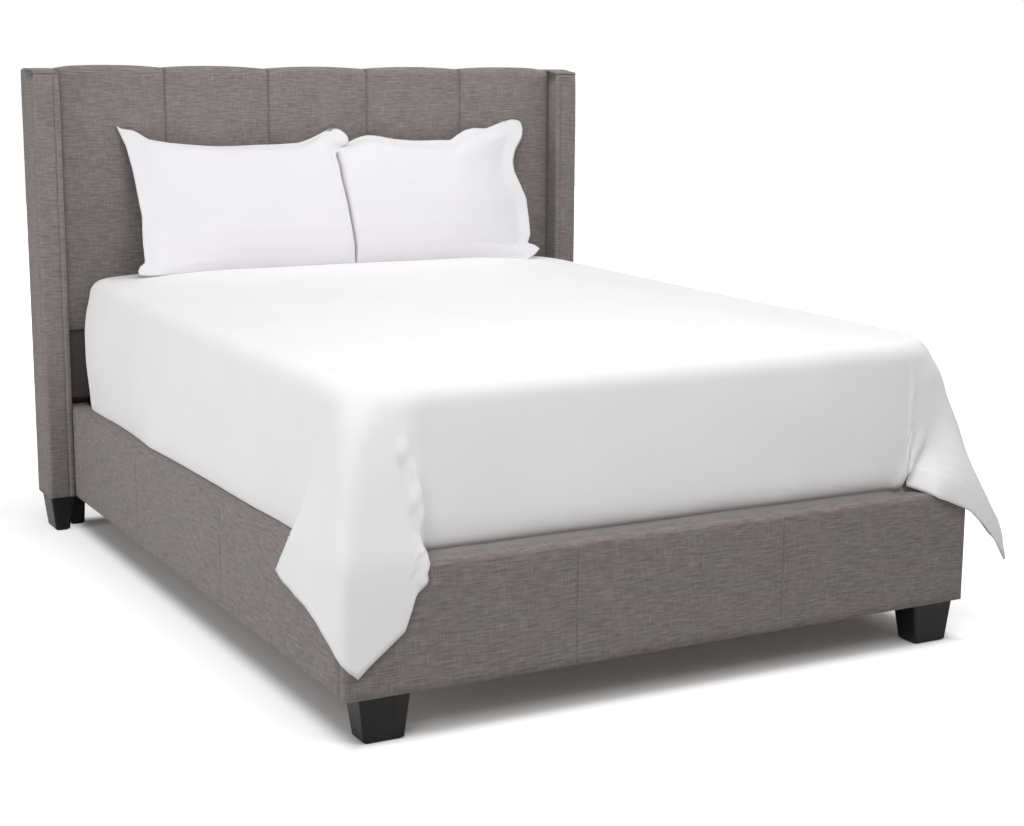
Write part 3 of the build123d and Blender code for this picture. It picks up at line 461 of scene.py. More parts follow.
# %% Padding between seams
def swell(bm, axis, seams, low, high, crown, depth, seam_top, facing):
    """Lets the padding of a cover swell between its seams and its ends, and pulls its seams in.

    The seams stop at seam_top. `facing` says how much a place lies on the outer face, and the top counts too.
    """
    fade, ripple = 0.03, 0.0006

    def rise(vertex):
        """How far the padding lifts the cloth here."""
        co, place = vertex.co, getattr(vertex.co, axis)
        to_seam = min(abs(place - seam) for seam in seams)
        to_end = min(place - getattr(low, axis), getattr(high, axis) - place)
        sewn = smoothstep(seam_top, seam_top - fade, co.z)
        lift = crown * (1.0 - sewn * exp(-min(to_seam, to_end) / fade)) - depth * sewn * groove(to_seam, 0.0018)
        lift += ripple * wander(co, 14.0) + 0.7 * ripple * wander(co, 45.0, 3.0) * exp(-to_seam / 0.04)
        outer = smoothstep(low.z, low.z + fade, co.z) * facing(co)
        return lift * max(outer, 0.8 * smoothstep(high.z - 0.006, high.z - 0.001, co.z))

    push(bm, rise)


# %% [markdown]
# ## Side rails
#
# A side rail is a board in foam and cloth. The cover goes over its top and a hand's breadth down the inside, so
# the box gets a lip that is extruded from its inner face. Two upright seams join its three panels.

# %% Side rail covers
# The lip inside starts at lip_low, and cuts every row_height leave vertices for the padding.
rail_seams = [foot_y + 1.434, foot_y + 0.756]
lip_low = 0.250
row_height = 0.02
rail_crown, rail_seam_depth = 0.0020, 0.0030


def rail_cover(side_name, side):
    """The padded cover of one side rail."""
    low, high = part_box("side_rail_cover_" + side_name)
    core_low, core_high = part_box("side_rail_core_" + side_name)
    outer = max(abs(low.x), abs(high.x))
    inner = min(abs(low.x), abs(high.x))
    core_inner = min(abs(core_low.x), abs(core_high.x)) + 0.0012
    bm = block((core_inner, low.y, low.z), (outer, high.y - cover_gap, high.z))
    cut(bm, "z", [lip_low])
    lip = (inner - core_inner, 0.0, 0.0)
    pull_out(bm, lambda centre, normal: normal.x < -0.9 and centre.z > lip_low, lip)
    round_edges(bm, lambda co: on(co.x, outer) and on(co.z, high.z), 0.015)
    round_edges(bm, lambda co: on(co.x, inner) and on(co.z, high.z), 0.007, 3)
    round_edges(bm, lambda co: on(co.x, outer) and on(co.z, low.z), 0.004, 2)
    cut(bm, "z", [low.z + row_height * step for step in range(1, 13)])
    cut(bm, "y", stations(low.y, high.y, rail_seams))

    def facing(co):
        """1 on the outer face, and 0 on the inner side."""
        return smoothstep(core_inner + 0.02, outer - 0.006, co.x)

    swell(bm, "y", rail_seams, low, high, rail_crown, rail_seam_depth, high.z - 0.008, facing)
    to_side(bm, side)
    return finish_piece(bm, "rail_cover_" + side_name, "side_rail_cover_" + side_name, long_axis="y")


for side_name, side in sides:
    rail_cover(side_name, side)

# %% [markdown]
# ## Footboard
#
# The footboard is as wide as the bed and its rounded ends close the front of the rails. Between the rails it is
# deeper, with a lip down its inside like theirs. It has three panels too.

# %% Footboard cover
rail_inner = min(abs(value.x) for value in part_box("side_rail_cover_left"))
foot_back = foot_y + 0.024 - cover_gap
foot_seams = [-0.275, 0.275]
foot_crown, foot_seam_depth = 0.0018, 0.0036
end_round = 0.013
bm = block(foot_low, (foot_high.x, foot_back, foot_high.z))
cut(bm, "x", [-rail_inner + 0.0006, rail_inner - 0.0006])
cut(bm, "z", [lip_low])
pull_out(
    bm,
    lambda centre, normal: normal.y > 0.9 and centre.z > lip_low and abs(centre.x) < rail_inner - 0.01,
    (0.0, foot_high.y - foot_back, 0.0),
)
round_edges(bm, lambda co: on(abs(co.x), frame_half) and on(co.y, foot_y), end_round)
round_edges(bm, lambda co: co.y < foot_y + end_round + 0.0005 and on(co.z, foot_high.z), 0.012)
round_edges(bm, lambda co: on(co.y, foot_high.y) and on(co.z, foot_high.z), 0.007, 3)
cut(bm, "z", [foot_low.z + row_height * step for step in range(1, 13)])
cut(bm, "x", stations(foot_low.x, foot_high.x, foot_seams))


def foot_facing(co):
    """1 on the front, and 0 on the hidden sides."""
    return smoothstep(foot_y + 0.020, foot_y + 0.012, co.y)


foot_seam_top = foot_high.z - 0.004
swell(bm, "x", foot_seams, foot_low, foot_high, foot_crown, foot_seam_depth, foot_seam_top, foot_facing)
finish_piece(bm, "footboard_padding", "footboard_cover")

# %% [markdown]
# ## Wings
#
# Each wing is a slim padded box. A welt runs up the inner edge of its front face, and a seam runs down its outer
# corner. Both are made by moving the vertices of a few close cuts. The top is stuffed full and stands up a
# little, more at the back than at the front.

# %% Wing covers
welt_width = 0.018
welt_rise, welt_seam_depth, corner_seam_depth = 0.0020, 0.0030, 0.0022


def wing_cover(side_name, side):
    """The padded cover of one wing."""
    low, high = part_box("wing_cover_" + side_name)
    inner, outer = sorted((abs(low.x), abs(high.x)))
    bm = block((inner, low.y, low.z), (outer, high.y, high.z))
    round_edges(bm, lambda co: on(co.z, high.z), 0.009)
    round_edges(bm, lambda co: on(co.y, low.y) and co.z < high.z - 0.004, 0.009, 4)
    welt_x = inner + welt_width
    corner_y = low.y + 0.012
    cut(bm, "x", stations(inner, outer, [welt_x], step=0.012, near=(0.0012, 0.003, 0.006)))
    cut(bm, "y", stations(low.y, high.y, [corner_y], step=0.016, near=(0.0012, 0.003)))
    cut(bm, "z", stations(low.z, high.z, step=0.04))

    def rise(vertex):
        """Lifts the welt, draws in the two seams and puffs up the rest of the seen faces."""
        co, normal = vertex.co, vertex.normal
        frontness = max(0.0, -normal.y)
        welt = welt_rise * frontness * (1.0 - smoothstep(welt_x - 0.004, welt_x + 0.001, co.x))
        pinch = -welt_seam_depth * frontness * groove(co.x - welt_x)
        corner = -corner_seam_depth * max(0.0, normal.x) * groove(co.y - corner_y)
        away = min(co.z - low.z, high.z - co.z)
        below_top = smoothstep(0.010, 0.030, high.z - co.z)
        seen = frontness + max(0.0, normal.x)
        puff = 0.0014 * smoothstep(0.0, 0.05, away) * seen
        uneven = 0.0006 * wander(co, 16.0, 5.0) * seen
        return (welt + pinch + corner) * below_top + puff + uneven

    push(bm, rise)
    for vertex in bm.verts:
        crown = 0.004 + 0.009 * smoothstep(low.y, low.y + 0.07, vertex.co.y)
        vertex.co.z += crown * smoothstep(high.z - 0.05, high.z - 0.004, vertex.co.z)
    to_side(bm, side)
    return finish_piece(bm, "wing_padding_" + side_name, "wing_cover_" + side_name, long_axis="y")


for side_name, side in sides:
    wing_cover(side_name, side)

# %% [markdown]
# ## Headboard pad
#
# Five upright channels are sewn through thick foam. Between seams the foam stands proud in a broad, flat-topped
# swell, at a seam it is pulled back to the board, and along the top each channel makes its own shallow scallop
# before the cloth rolls over to the back. Small puckers fan out from the top of every seam. A share of the way
# across a channel drives all of this, so every channel gets the same shape.

# %% Channelled pad
pad_low, pad_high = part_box("headboard_tufted_pad")
board_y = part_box("headboard_backing_board")[0].y
frame_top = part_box("headboard_top_rail")[1].z
channel_width = 0.330
channel_count = 5
channel_depth = 0.014
channel_crown = 0.009
scallop = 0.0075
stitch_depth, stitch_width = 0.0045, 0.0014
pucker_height, pucker_pitch = 0.0016, 0.010134
pad_seams = [channel_width * (count - channel_count / 2) for count in range(1, channel_count)]
pad_back = board_y - cover_gap
bm = block(pad_low, (pad_high.x, pad_back, pad_high.z))
cut(bm, "z", [frame_top + 0.0006])
over_frame = (0.0, pad_high.y - pad_back, 0.0)
pull_out(bm, lambda centre, normal: normal.y > 0.9 and centre.z > frame_top, over_frame)
round_edges(bm, lambda co: on(co.y, pad_low.y) and on(co.z, pad_high.z), 0.022, 7)
round_edges(bm, lambda co: on(co.y, pad_high.y) and on(co.z, pad_high.z), 0.012, 4)
round_edges(bm, lambda co: on(co.y, pad_low.y) and on(co.z, pad_low.z), 0.006, 3)
cut(bm, "z", [pad_low.z + 0.022 * step for step in range(1, 34)])
cut(bm, "y", [board_y + 0.012 * step for step in range(1, 5)])
cut(bm, "x", stations(pad_low.x, pad_high.x, pad_seams, step=0.0165, near=(0.0012, 0.003, 0.006, 0.011)))


def channel_share(x):
    """How far a place lies from the middle of its channel: 0 there, 1 on the seam."""
    place = (min(max(x, pad_low.x + 1e-6), pad_high.x - 1e-6) - pad_low.x) / channel_width
    return abs(2.0 * (place - int(place)) - 1.0)


for vertex in bm.verts:
    co = vertex.co
    across_share = channel_share(co.x)
    sunk = across_share**3 * 0.8 + 0.2 * smoothstep(0.90, 1.0, across_share)
    at_end = smoothstep(0.06, 0.0, frame_half - abs(co.x)) if abs(co.x) > 2 * channel_width else 0.0
    front = smoothstep(board_y - 0.008, pad_low.y + 0.004, co.y)
    below_top = pad_high.z - co.z
    seam_distance = (1.0 - across_share) * channel_width / 2
    pucker = pucker_height * sin(seam_distance * 2 * pi / pucker_pitch)
    pucker *= exp(-below_top / 0.07) * exp(-seam_distance / 0.035)
    soft = 0.0010 * wander(co, 9.0, 2.0) + 0.0006 * wander(co, 28.0, 7.0) * exp(-seam_distance / 0.05)
    lower_roll = 0.004 * exp(-(co.z - pad_low.z) / 0.012)
    stitched = groove(seam_distance, stitch_width)
    co.y += front * (channel_depth * (sunk - 0.35 * at_end) + pucker + soft + lower_roll + stitch_depth * stitched)
    on_top = smoothstep(pad_high.z - 0.03, pad_high.z - 0.002, co.z)
    lean_down = 0.0033 * smoothstep(-0.60, -0.15, co.x) + 0.004 * at_end
    co.z += on_top * (channel_crown - scallop * across_share**2 - 0.0025 * stitched - lean_down)
finish_piece(bm, "headboard_channels", "headboard_tufted_pad")

# %% [markdown]
# ## Flat panel and back cloth
#
# Below the channels the headboard is one thinly padded panel, its plain cloth coloured much darker than the linen.
# Through the slit between it and the rails the posts can be seen, so a near-black sleeve, painted shade for that
# slit, covers each of them there. The back is one piece of cloth that is stapled over the frame and dips a little
# where no rail or post lies behind it.

# %% Flat panel below the channels
panel_low, panel_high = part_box("headboard_lower_panel")
rail_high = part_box("side_rail_cover_left")[1]
bm = block(panel_low, panel_high)
round_edges(bm, lambda co: on(co.y, panel_low.y), 0.004, 3)
cut(bm, "x", stations(panel_low.x, panel_high.x, step=0.05))
cut(bm, "z", stations(panel_low.z, panel_high.z))
for vertex in bm.verts:
    edge_distance = min(frame_half - abs(vertex.co.x), vertex.co.z - panel_low.z, panel_high.z - vertex.co.z)
    front = smoothstep(panel_high.y - 0.002, panel_low.y + 0.003, vertex.co.y)
    vertex.co.y -= front * (0.0015 * smoothstep(0.0, 0.06, edge_distance) + 0.0006 * wander(vertex.co, 12.0))
# Sleeves over the posts, seen through the slit below the panel: painted shade in near-black cloth.
for side_name, side in sides:
    post_low, post_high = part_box("headboard_post_" + side_name)
    sleeve_low = (post_low.x - 0.0012, post_low.y - 0.0018, rail_high.z + 0.0015)
    sleeve_high = (post_high.x + 0.0012, panel_high.y, panel_low.z - 0.0002)
    block(sleeve_low, sleeve_high, bm)
lower_panel = finish_piece(bm, "headboard_flat_panel", "headboard_lower_panel", finish="panel_cloth")
# Faces below the panel are the sleeves, and they take the near-black painted-shade cloth.
lower_panel.data.materials.append(finishes["post_sleeve_painted_shade"])
for polygon in lower_panel.data.polygons:
    polygon.material_index = 1 if polygon.center.z < panel_low.z - 0.0001 else 0

# %% Cloth on the back of the headboard
back_low, back_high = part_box("headboard_back_cover")
bm = block(back_low, back_high)
round_edges(bm, lambda co: on(co.y, back_high.y), 0.002, 2)
cut(bm, "x", stations(back_low.x, back_high.x, step=0.04))
cut(bm, "z", stations(back_low.z, back_high.z, step=0.04))
post_inner = min(abs(value.x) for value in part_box("headboard_post_left"))
for vertex in bm.verts:
    co = vertex.co
    if co.y > (back_low.y + back_high.y) / 2:
        open_x = smoothstep(0.0, 0.12, post_inner - abs(co.x))
        open_z = smoothstep(0.0, 0.15, min(co.z - back_low.z, back_high.z - co.z))
        co.y -= 0.0022 * open_x * open_z + 0.0004 * wander(co, 6.0)
back_cloth = finish_piece(bm, "headboard_back_cloth", "headboard_back_cover")

# %% [markdown]
# ## Straps, foundation and mattress
#
# These lie out of sight until the bedding is lifted off. The straps are flat woven tape, so a thin box with a
# slight ripple is all they need. The foundation and the mattress are padded: rounded boxes with a raised tape
# edge round their top and bottom, and a mattress that is quilted in shallow waves.

# %% Webbing straps under the slats
strap_low, strap_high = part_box("slat_straps")
strap_width = 0.040
for strap_name, start_x in (("strap_left", strap_low.x), ("strap_right", strap_high.x - strap_width)):
    bm = block((start_x, strap_low.y, strap_low.z), (start_x + strap_width, strap_high.y, strap_high.z))
    cut(bm, "y", stations(strap_low.y, strap_high.y, step=0.02))
    cut(bm, "x", [start_x + strap_width * share for share in (0.1, 0.5, 0.9)])
    for vertex in bm.verts:
        if vertex.co.z < (strap_low.z + strap_high.z) / 2:
            vertex.co.z -= 0.0004 * abs(wander(vertex.co, 20.0))
    strap = finish_piece(bm, strap_name, "slat_straps", "webbing")


# %% Foundation and mattress
tape_height = 0.016
quilt_pitch = 0.20


def is_level(edge):
    """True for an edge whose two ends are at the same height."""
    return on(edge.verts[0].co.z, edge.verts[1].co.z)


def bed_block(name, corner_radius, rim_radius, quilt, tape, slot):
    """A padded block with a tape edge round its top and bottom, and shallow quilting between."""
    low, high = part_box(name)
    bm = block(low, high)
    bevel(bm, [edge for edge in bm.edges if not is_level(edge)], corner_radius, 8)
    bevel(bm, [edge for edge in bm.edges if is_level(edge)], rim_radius, 4)
    tapes = [low.z + tape_height, high.z - tape_height]
    cut(bm, "z", stations(low.z, high.z, tapes, near=(0.003, 0.006)))
    cut(bm, "x", stations(low.x, high.x))
    cut(bm, "y", stations(low.y, high.y))

    def rise(vertex):
        """Lifts the tape edges and sinks the quilting."""
        co, level = vertex.co, abs(vertex.normal.z)
        edging = tape * (1.0 - level) * groove(min(abs(co.z - tape_z) for tape_z in tapes), 0.005)
        waves = sin(co.x * 2 * pi / quilt_pitch) * sin(co.y * 2 * pi / quilt_pitch)
        edge_distance = min(high.x - abs(co.x), co.y - low.y, high.y - co.y)
        sunk = quilt * level * smoothstep(0.02, 0.10, edge_distance) * (0.5 + 0.5 * waves)
        return edging - sunk - 0.0004 * abs(wander(co, 10.0))

    push(bm, rise)
    return finish_piece(bm, name + "_padding", name, slot, body=name)


bed_block("foundation", 0.040, 0.007, 0.0, 0.0006, "foundation_cloth")
bed_block("mattress", 0.110, 0.030, 0.0030, 0.0012, "mattress_ticking")

# %% [markdown]
# ## The duvet
#
# The duvet is one cloth. A flat grid becomes its top, and then the rim of that grid is extruded again and again
# to hang down all round. Each vertex of the rim keeps its place along the edge, so one function can say where
# the cloth lies at any drop below the top: inside the rail where it is tucked in, outside it where a foot
# corner hangs loose. A cloth simulation could drape a sheet over a box, but it wouldn't tuck the sides and leave
# just these two corners out, so the folds are shaped directly.

# %% Sizes of the duvet
duvet_side = 0.785
duvet_foot = foot_y + 0.050
duvet_head = foot_y + 2.078
edge_radius = 0.042
foot_plan_radius = 0.060
head_plan_radius = 0.105
slot_side = 0.7640
skirt_low = 0.302
side_start = duvet_foot + foot_plan_radius
side_end = duvet_head - head_plan_radius
foot_inner_x = duvet_side - foot_plan_radius
head_inner_x = duvet_side - head_plan_radius


def through(table, value):
    """Reads a table of (place, value) points along straight lines."""
    if value <= table[0][0]:
        return table[0][1]
    for (low, first), (high, second) in zip(table, table[1:]):
        if value <= high:
            return first + (second - first) * (value - low) / (high - low)
    return table[-1][1]


def rim_height(y):
    """Height of the duvet's rim: it sinks a little towards the foot."""
    return through(((0.11, 0.743), (0.40, 0.748), (1.40, 0.757), (1.80, 0.763)), y - foot_y)


print("duvet", round(2 * duvet_side, 3), "by", round(duvet_head - duvet_foot, 3))

# %% [markdown]
# The two foot corners differ, as loose cloth does: the left one hangs down close to the bed in a wide flap, and
# the right one swings out to a point. Each has tables of two kinds.
#
# - `side` and `foot`: how far the cloth stands off the duvet's side and foot, by the height above the floor.
# - `side_hem`, `corner_hem` and `foot_hem`: the height of its hem. Along the rail and the footboard it goes by
#   the distance from the corner, and round the corner itself by the share of the way round.
#
# `side_edge` and `foot_edge` are the distances from the corner at which the loose cloth ends, and `edge_shift`
# moves the free edge on the footboard sideways by height. `crease` is true where a crease runs up from that edge.

# %% Shape of the two loose corners
loose_corners = {
    -1: {
        "side": ((0.15, 0.0520), (0.385, 0.0480), (0.45, 0.034), (0.56, 0.018), (0.70, 0.004), (0.745, 0.0)),
        "foot": ((0.15, 0.0640), (0.385, 0.0600), (0.45, 0.046), (0.56, 0.030), (0.70, 0.010), (0.745, 0.0)),
        "side_hem": ((0.0, 0.236), (0.03, 0.250), (0.10, 0.268), (0.172, 0.297)),
        "corner_hem": ((0.0, 0.236), (0.30, 0.212), (0.50, 0.184), (0.665, 0.152), (0.80, 0.180), (1.0, 0.214)),
        "foot_hem": ((0.0, 0.214), (0.037, 0.240), (0.051, 0.281), (0.066, 0.316), (0.082, 0.325), (0.090, 0.336)),
        "side_edge": 0.172,
        "foot_edge": 0.090,
        "edge_shift": (
            (0.335, 0.008), (0.385, 0.0), (0.406, 0.005), (0.437, 0.020), (0.468, 0.0), (0.485, 0.002),
            (0.519, 0.007), (0.566, 0.017), (0.596, 0.029), (0.659, 0.036), (0.742, 0.040),
        ),
        "crease": False,
    },
    1: {
        "side": (
            (0.19, 0.155), (0.229, 0.165), (0.279, 0.154), (0.342, 0.119), (0.409, 0.086), (0.474, 0.063),
            (0.566, 0.043), (0.604, 0.033), (0.66, 0.017), (0.72, 0.0),
        ),
        "foot": ((0.19, 0.082), (0.385, 0.0600), (0.45, 0.042), (0.56, 0.020), (0.70, 0.002), (0.745, 0.0)),
        "side_hem": ((0.0, 0.296), (0.10, 0.308), (0.172, 0.301)),
        "corner_hem": (
            (0.0, 0.296), (0.15, 0.246), (0.27, 0.222), (0.38, 0.200), (0.42, 0.195), (0.52, 0.258),
            (0.61, 0.302), (0.70, 0.330), (0.94, 0.361), (1.0, 0.366),
        ),
        "foot_hem": ((0.0, 0.366), (0.025, 0.379), (0.050, 0.389)),
        "side_edge": 0.172,
        "foot_edge": 0.050,
        "edge_shift": ((0.30, 0.0), (0.70, 0.0)),
        "crease": True,
    },
}
# A crease rises from crease_foot. The fold above a loose side falls from fold_height at fold_start before the
# corner. corner_run is the length that a corner's arc stands for, past_edge is how far a loose edge pulls its
# neighbours along, and tip_shift moves a flap's rear edge along the bed by height.
crease_foot, crease_slope = 0.390, 0.575
fold_height, fold_slope, fold_start = 0.7185, 0.598, 0.0175
corner_run = 0.11
past_edge = 0.04
tip_shift = ((0.297, 0.077), (0.385, -0.004), (0.403, 0.0))
low_belly = (
    (0.34, 0.0), (0.40, 0.002), (0.48, 0.006), (0.90, 0.009), (1.10, 0.012), (1.26, 0.018), (1.37, 0.010),
    (1.48, 0.005), (1.65, 0.004), (1.80, 0.005),
)
high_belly = ((0.20, 0.0), (0.60, 0.007), (1.50, 0.009), (1.80, 0.017))
foot_roll = (
    (0.374, 0.024), (0.378, 0.020), (0.383, 0.015), (0.388, 0.0105), (0.394, 0.0068), (0.402, 0.0038),
    (0.412, 0.0018), (0.43, 0.0),
)
for side_name, side in sides:
    print(side_name, "corner's tip", min(height for _, height in loose_corners[side]["corner_hem"]), "m up")

# %% [markdown]
# On the sides, the cloth is loose below a slanting fold that runs down from the corner, and everywhere else it
# goes into the slot behind the rail just above the rail's top. At the foot it rolls in behind the footboard, and
# `foot_roll` says how far at each height. The filling pushes the sides out a little: `low_belly` does so just
# above the rail, and `high_belly` halfway up, both by the distance from the foot corner.

# %% How far the cloth stands off at a place
def tucked_in(z, wave=0.0):
    """0 above the rail and 1 inside the slot behind it: the cloth turns in sharply just above the rail."""
    return 1.0 - smoothstep(0.3740, 0.3795, z + wave)


def belly(distance, z):
    """How far the filling pushes the side out, low down and halfway up."""
    low = through(low_belly, distance) * (1.0 - smoothstep(0.38, 0.54, z))
    high = through(high_belly, distance) * smoothstep(0.38, 0.54, z) * (1.0 - smoothstep(0.60, 0.73, z))
    return low + high


def side_stand_off(side, distance, z):
    """Stand-off from the duvet's side: loose near the corner, tucked inside the rail beyond it."""
    loose = loose_corners[side]
    fold = fold_height - (distance + fold_start) / fold_slope
    reach = min(0.09, max(0.020, 0.4 * (fold - 0.36)))
    flap = through(loose["side"], z) * smoothstep(-reach, 0.0, fold - z)
    if distance <= loose["side_edge"]:
        return max(flap, belly(distance, z) * smoothstep(0.0, 0.1, distance))
    wave = 0.0015 * wander((distance * 5.0, side * 3.0, 0.5), 1.0)
    inside = tucked_in(z, wave)
    return (slot_side - duvet_side) * inside + belly(distance, z) * (1.0 - inside)


def foot_stand_off(side, distance, z):
    """Stand-off from the duvet's foot: loose near the corner, tucked inside the footboard beyond it."""
    loose = loose_corners[side]
    edge = loose["foot_edge"]
    out = through(loose["foot"], z)
    past = distance - edge
    wave = 0.0015 * wander((distance * 6.0, side * 3.0, 9.5), 1.0)
    tuck = -through(foot_roll, z + wave) if past > 0 else 0.0
    if loose["crease"]:
        line = edge - crease_slope * max(0.0, z - crease_foot)
        rising = smoothstep(0.0, 0.047, line - distance)
        fading = smoothstep(0.56, 0.50, z) * smoothstep(-0.03, 0.0, edge + 0.03 - distance)
        valley = 0.007 * groove(distance - line - 0.002, 0.007) - 0.006 * groove(distance - line - 0.024, 0.014)
        return out * rising - valley * fading + tuck
    if past <= 0:
        return out
    rise = through(loose["edge_shift"], z)
    across = rise * max(0.0, 1.0 - past / past_edge) - past
    back = min(1.0, max(0.0, (across + 0.010) / (rise + 0.010)))
    return out * back * (1.0 - tucked_in(z)) + tuck


def corner_place(share, out_x, out_y):
    """A place on the way round a foot corner, from the side (share 0) to the foot (share 1)."""
    outward = (out_x + out_y) / 2
    radius = foot_plan_radius + outward if outward < 0 else max(0.024, foot_plan_radius - 0.6 * outward)
    wall_x, wall_y = duvet_side + out_x, duvet_foot - out_y
    side_leg = foot_plan_radius + out_y - radius
    foot_leg = foot_plan_radius + out_x - radius
    walked = share * (side_leg + quarter * radius + foot_leg)
    if walked < side_leg:
        return wall_x, side_start - walked
    if walked < side_leg + quarter * radius:
        turn = (walked - side_leg) / radius
        return wall_x - radius + radius * cos(turn), wall_y + radius - radius * sin(turn)
    return wall_x - radius - (walked - side_leg - quarter * radius), wall_y


# %% [markdown]
# A column of cloth is one vertical line of it. `hang` walks down a column: first over the rounded edge of the
# top, then straight down to the column's hem, and adds the stand-off at that height. The filling is slack at the
# four top corners, so `rounder` draws them inwards afterwards.

# %% Where a column of cloth hangs
foot_slack, head_slack = 0.17, 0.22
head_edge = 0.7445
head_hem = ((0.0, 0.302), (0.2, 0.36), (0.4, 0.50), (0.6, 0.66), (0.72, head_edge))
foot_round = ((0.57, 0.0), (0.66, 0.009), (0.70, 0.023), (0.725, 0.028), (0.743, 0.023))
head_round = ((0.67, 0.0), (0.69, 0.004), (0.71, 0.009), (0.73, 0.012), (0.757, 0.014))


def rounder(place):
    """Draws the top of each corner inwards, because the filling there is slack and rounds off widely."""
    drop = min(edge_radius, max(0.0, rim_height(place.y) - place.z))
    inset = edge_radius * (sin(acos(1.0 - drop / edge_radius)) - 1.0)
    from_side = max(0.0, duvet_side + inset - abs(place.x))
    for table, from_end, way, radius in (
        (foot_round, place.y - duvet_foot + inset, 1.0, foot_slack),
        (head_round, duvet_head + inset - place.y, -1.0, head_slack),
    ):
        weight = max(0.0, 1.0 - from_side / radius) ** 2 * max(0.0, 1.0 - max(0.0, from_end) / radius) ** 2
        move = through(table, place.z) * weight
        place.x -= move if place.x > 0 else -move
        place.y += way * move


def hem_height(column):
    """The height at which a column of cloth ends."""
    zone, side, place = column
    loose = loose_corners[side]
    if zone in ("side", "foot"):
        return through(loose[zone + "_hem"], place) if place <= loose[zone + "_edge"] else skirt_low
    if zone == "corner":
        return through(loose["corner_hem"], place)
    return through(head_hem, place) if zone == "head_corner" else head_edge


def hang(column, share):
    """The place of a column's cloth at a share of its length below the rim."""
    zone, side, place = column
    if zone == "side":
        rim = rim_height(side_start + place)
    elif zone in ("foot", "corner"):
        rim = rim_height(duvet_foot)
    else:
        rim = rim_height(duvet_head)
    drop_whole = rim - hem_height(column)
    if drop_whole < edge_radius:
        length = share * edge_radius * acos(1.0 - drop_whole / edge_radius)
    else:
        length = share * (drop_whole - edge_radius + quarter * edge_radius)
    turn = min(length / edge_radius, quarter)
    drop = edge_radius * (1.0 - cos(turn)) + max(0.0, length - quarter * edge_radius)
    inset = edge_radius * (sin(turn) - 1.0)
    z = rim - drop
    if zone == "side":
        out = side_stand_off(side, place, z)
        y = side_start + place
        if place <= loose_corners[side]["side_edge"]:
            y += through(tip_shift, z) * smoothstep(0.04, 0.172, place)
        return Vector((side * (duvet_side + inset + out), y, z))
    if zone == "foot":
        out = foot_stand_off(side, place, z)
        loose = loose_corners[side]
        past = place - loose["foot_edge"]
        if past <= 0:
            hold = smoothstep(0.0, 0.09, place)
        else:
            hold = max(0.0, 1.0 - past / past_edge) * (1.0 - tucked_in(z))
        x = foot_inner_x - place + through(loose["edge_shift"], z) * hold
        return Vector((side * x, duvet_foot - inset - out, z))
    if zone == "corner":
        out_x = inset + side_stand_off(side, -corner_run * place, z)
        out_y = inset + foot_stand_off(side, -corner_run * (1.0 - place), z)
        x, y = corner_place(place, out_x, out_y)
        return Vector((side * x, y, z))
    if zone == "head_corner":
        tuck = (slot_side - duvet_side) * tucked_in(z) * max(0.0, 1.0 - place / 0.3)
        radius = head_plan_radius + inset + tuck + belly(side_end - side_start, z) * max(0.0, 1.0 - place / 0.8)
        turn = place * quarter
        return Vector((side * (head_inner_x + radius * cos(turn)), side_end + radius * sin(turn), z))
    return Vector((side * place, duvet_head + inset, z))


print("foot corner's middle, at the rim:", [round(part, 3) for part in hang(("corner", -1, 0.5), 0.0)])

# %% [markdown]
# The rim is a list of columns for each side of the grid. Columns are about 14 mm apart, and closer round the
# foot corners, where the cloth opens out like a fan. Two columns lie close together where the loose cloth ends
# and the tucked cloth begins.

# %% Columns round the rim
def spread(start, end, count):
    """Even places from start to just before end."""
    return [start + (end - start) * i / count for i in range(count)]


def run_from_corner(edge, far, near_count, far_count):
    """Distances from a foot corner, close together where the loose cloth ends."""
    seam = [edge - 0.0008, edge + 0.0022, edge + 0.012, edge + 0.023]
    return spread(0.0, edge - 0.004, near_count) + seam + spread(edge + 0.035, far, far_count)


arc_half = 6
arc_shares = [0.5 * i / arc_half for i in range(arc_half + 1)]
side_lines, foot_halves = {}, {}
for side, loose in loose_corners.items():
    side_run = run_from_corner(loose["side_edge"], side_end - side_start, 15, 118)
    foot_run = run_from_corner(loose["foot_edge"], foot_inner_x, 15, 42)
    side_lines[side] = (
        [("corner", side, share) for share in reversed(arc_shares[1:])]
        + [("side", side, place) for place in side_run]
        + [("head_corner", side, share) for share in arc_shares]
    )
    foot_halves[side] = [("corner", side, 1.0 - share) for share in reversed(arc_shares[1:])] + [
        ("foot", side, place) for place in foot_run
    ]
half_count = len(foot_halves[-1]) - arc_half
head_halves = {
    side: [("head_corner", side, 1.0 - share) for share in reversed(arc_shares[1:])]
    + [("head", side, place) for place in spread(head_inner_x, 0.0, half_count)]
    for side in (-1, 1)
}
foot_line = foot_halves[-1] + [("foot", 1, foot_inner_x)] + foot_halves[1][::-1]
head_line = head_halves[-1] + [("head", 1, 0.0)] + head_halves[1][::-1]
print("columns:", len(foot_line), "across,", len(side_lines[1]), "along")


# %% The top as a grid between the rims
def shares_along(line):
    """How far each column lies along its line, from 0 to 1."""
    places = [hang(column, 0.0) for column in line]
    walked = [0.0]
    for first, second in zip(places, places[1:]):
        walked.append(walked[-1] + (second - first).length)
    return [distance / walked[-1] for distance in walked]


def top_place(i, j):
    """Blends the four rims to a place inside them, and adds the soft crown of the filling."""
    u, v = u_shares[i], v_shares[j]
    sides = side_rim[-1][j] * (1 - u) + side_rim[1][j] * u
    ends = foot_rim[i] * (1 - v) + head_rim[i] * v
    corners = (
        foot_rim[0] * (1 - u) * (1 - v)
        + foot_rim[-1] * u * (1 - v)
        + head_rim[0] * (1 - u) * v
        + head_rim[-1] * u * v
    )
    place = sides + ends - corners
    inward = min(duvet_side - edge_radius - abs(place.x), place.y - duvet_foot - edge_radius)
    place.z += 0.019 * (1.0 - (1.0 - smoothstep(0.0, 0.42, max(0.0, inward))) ** 1.5)
    return place


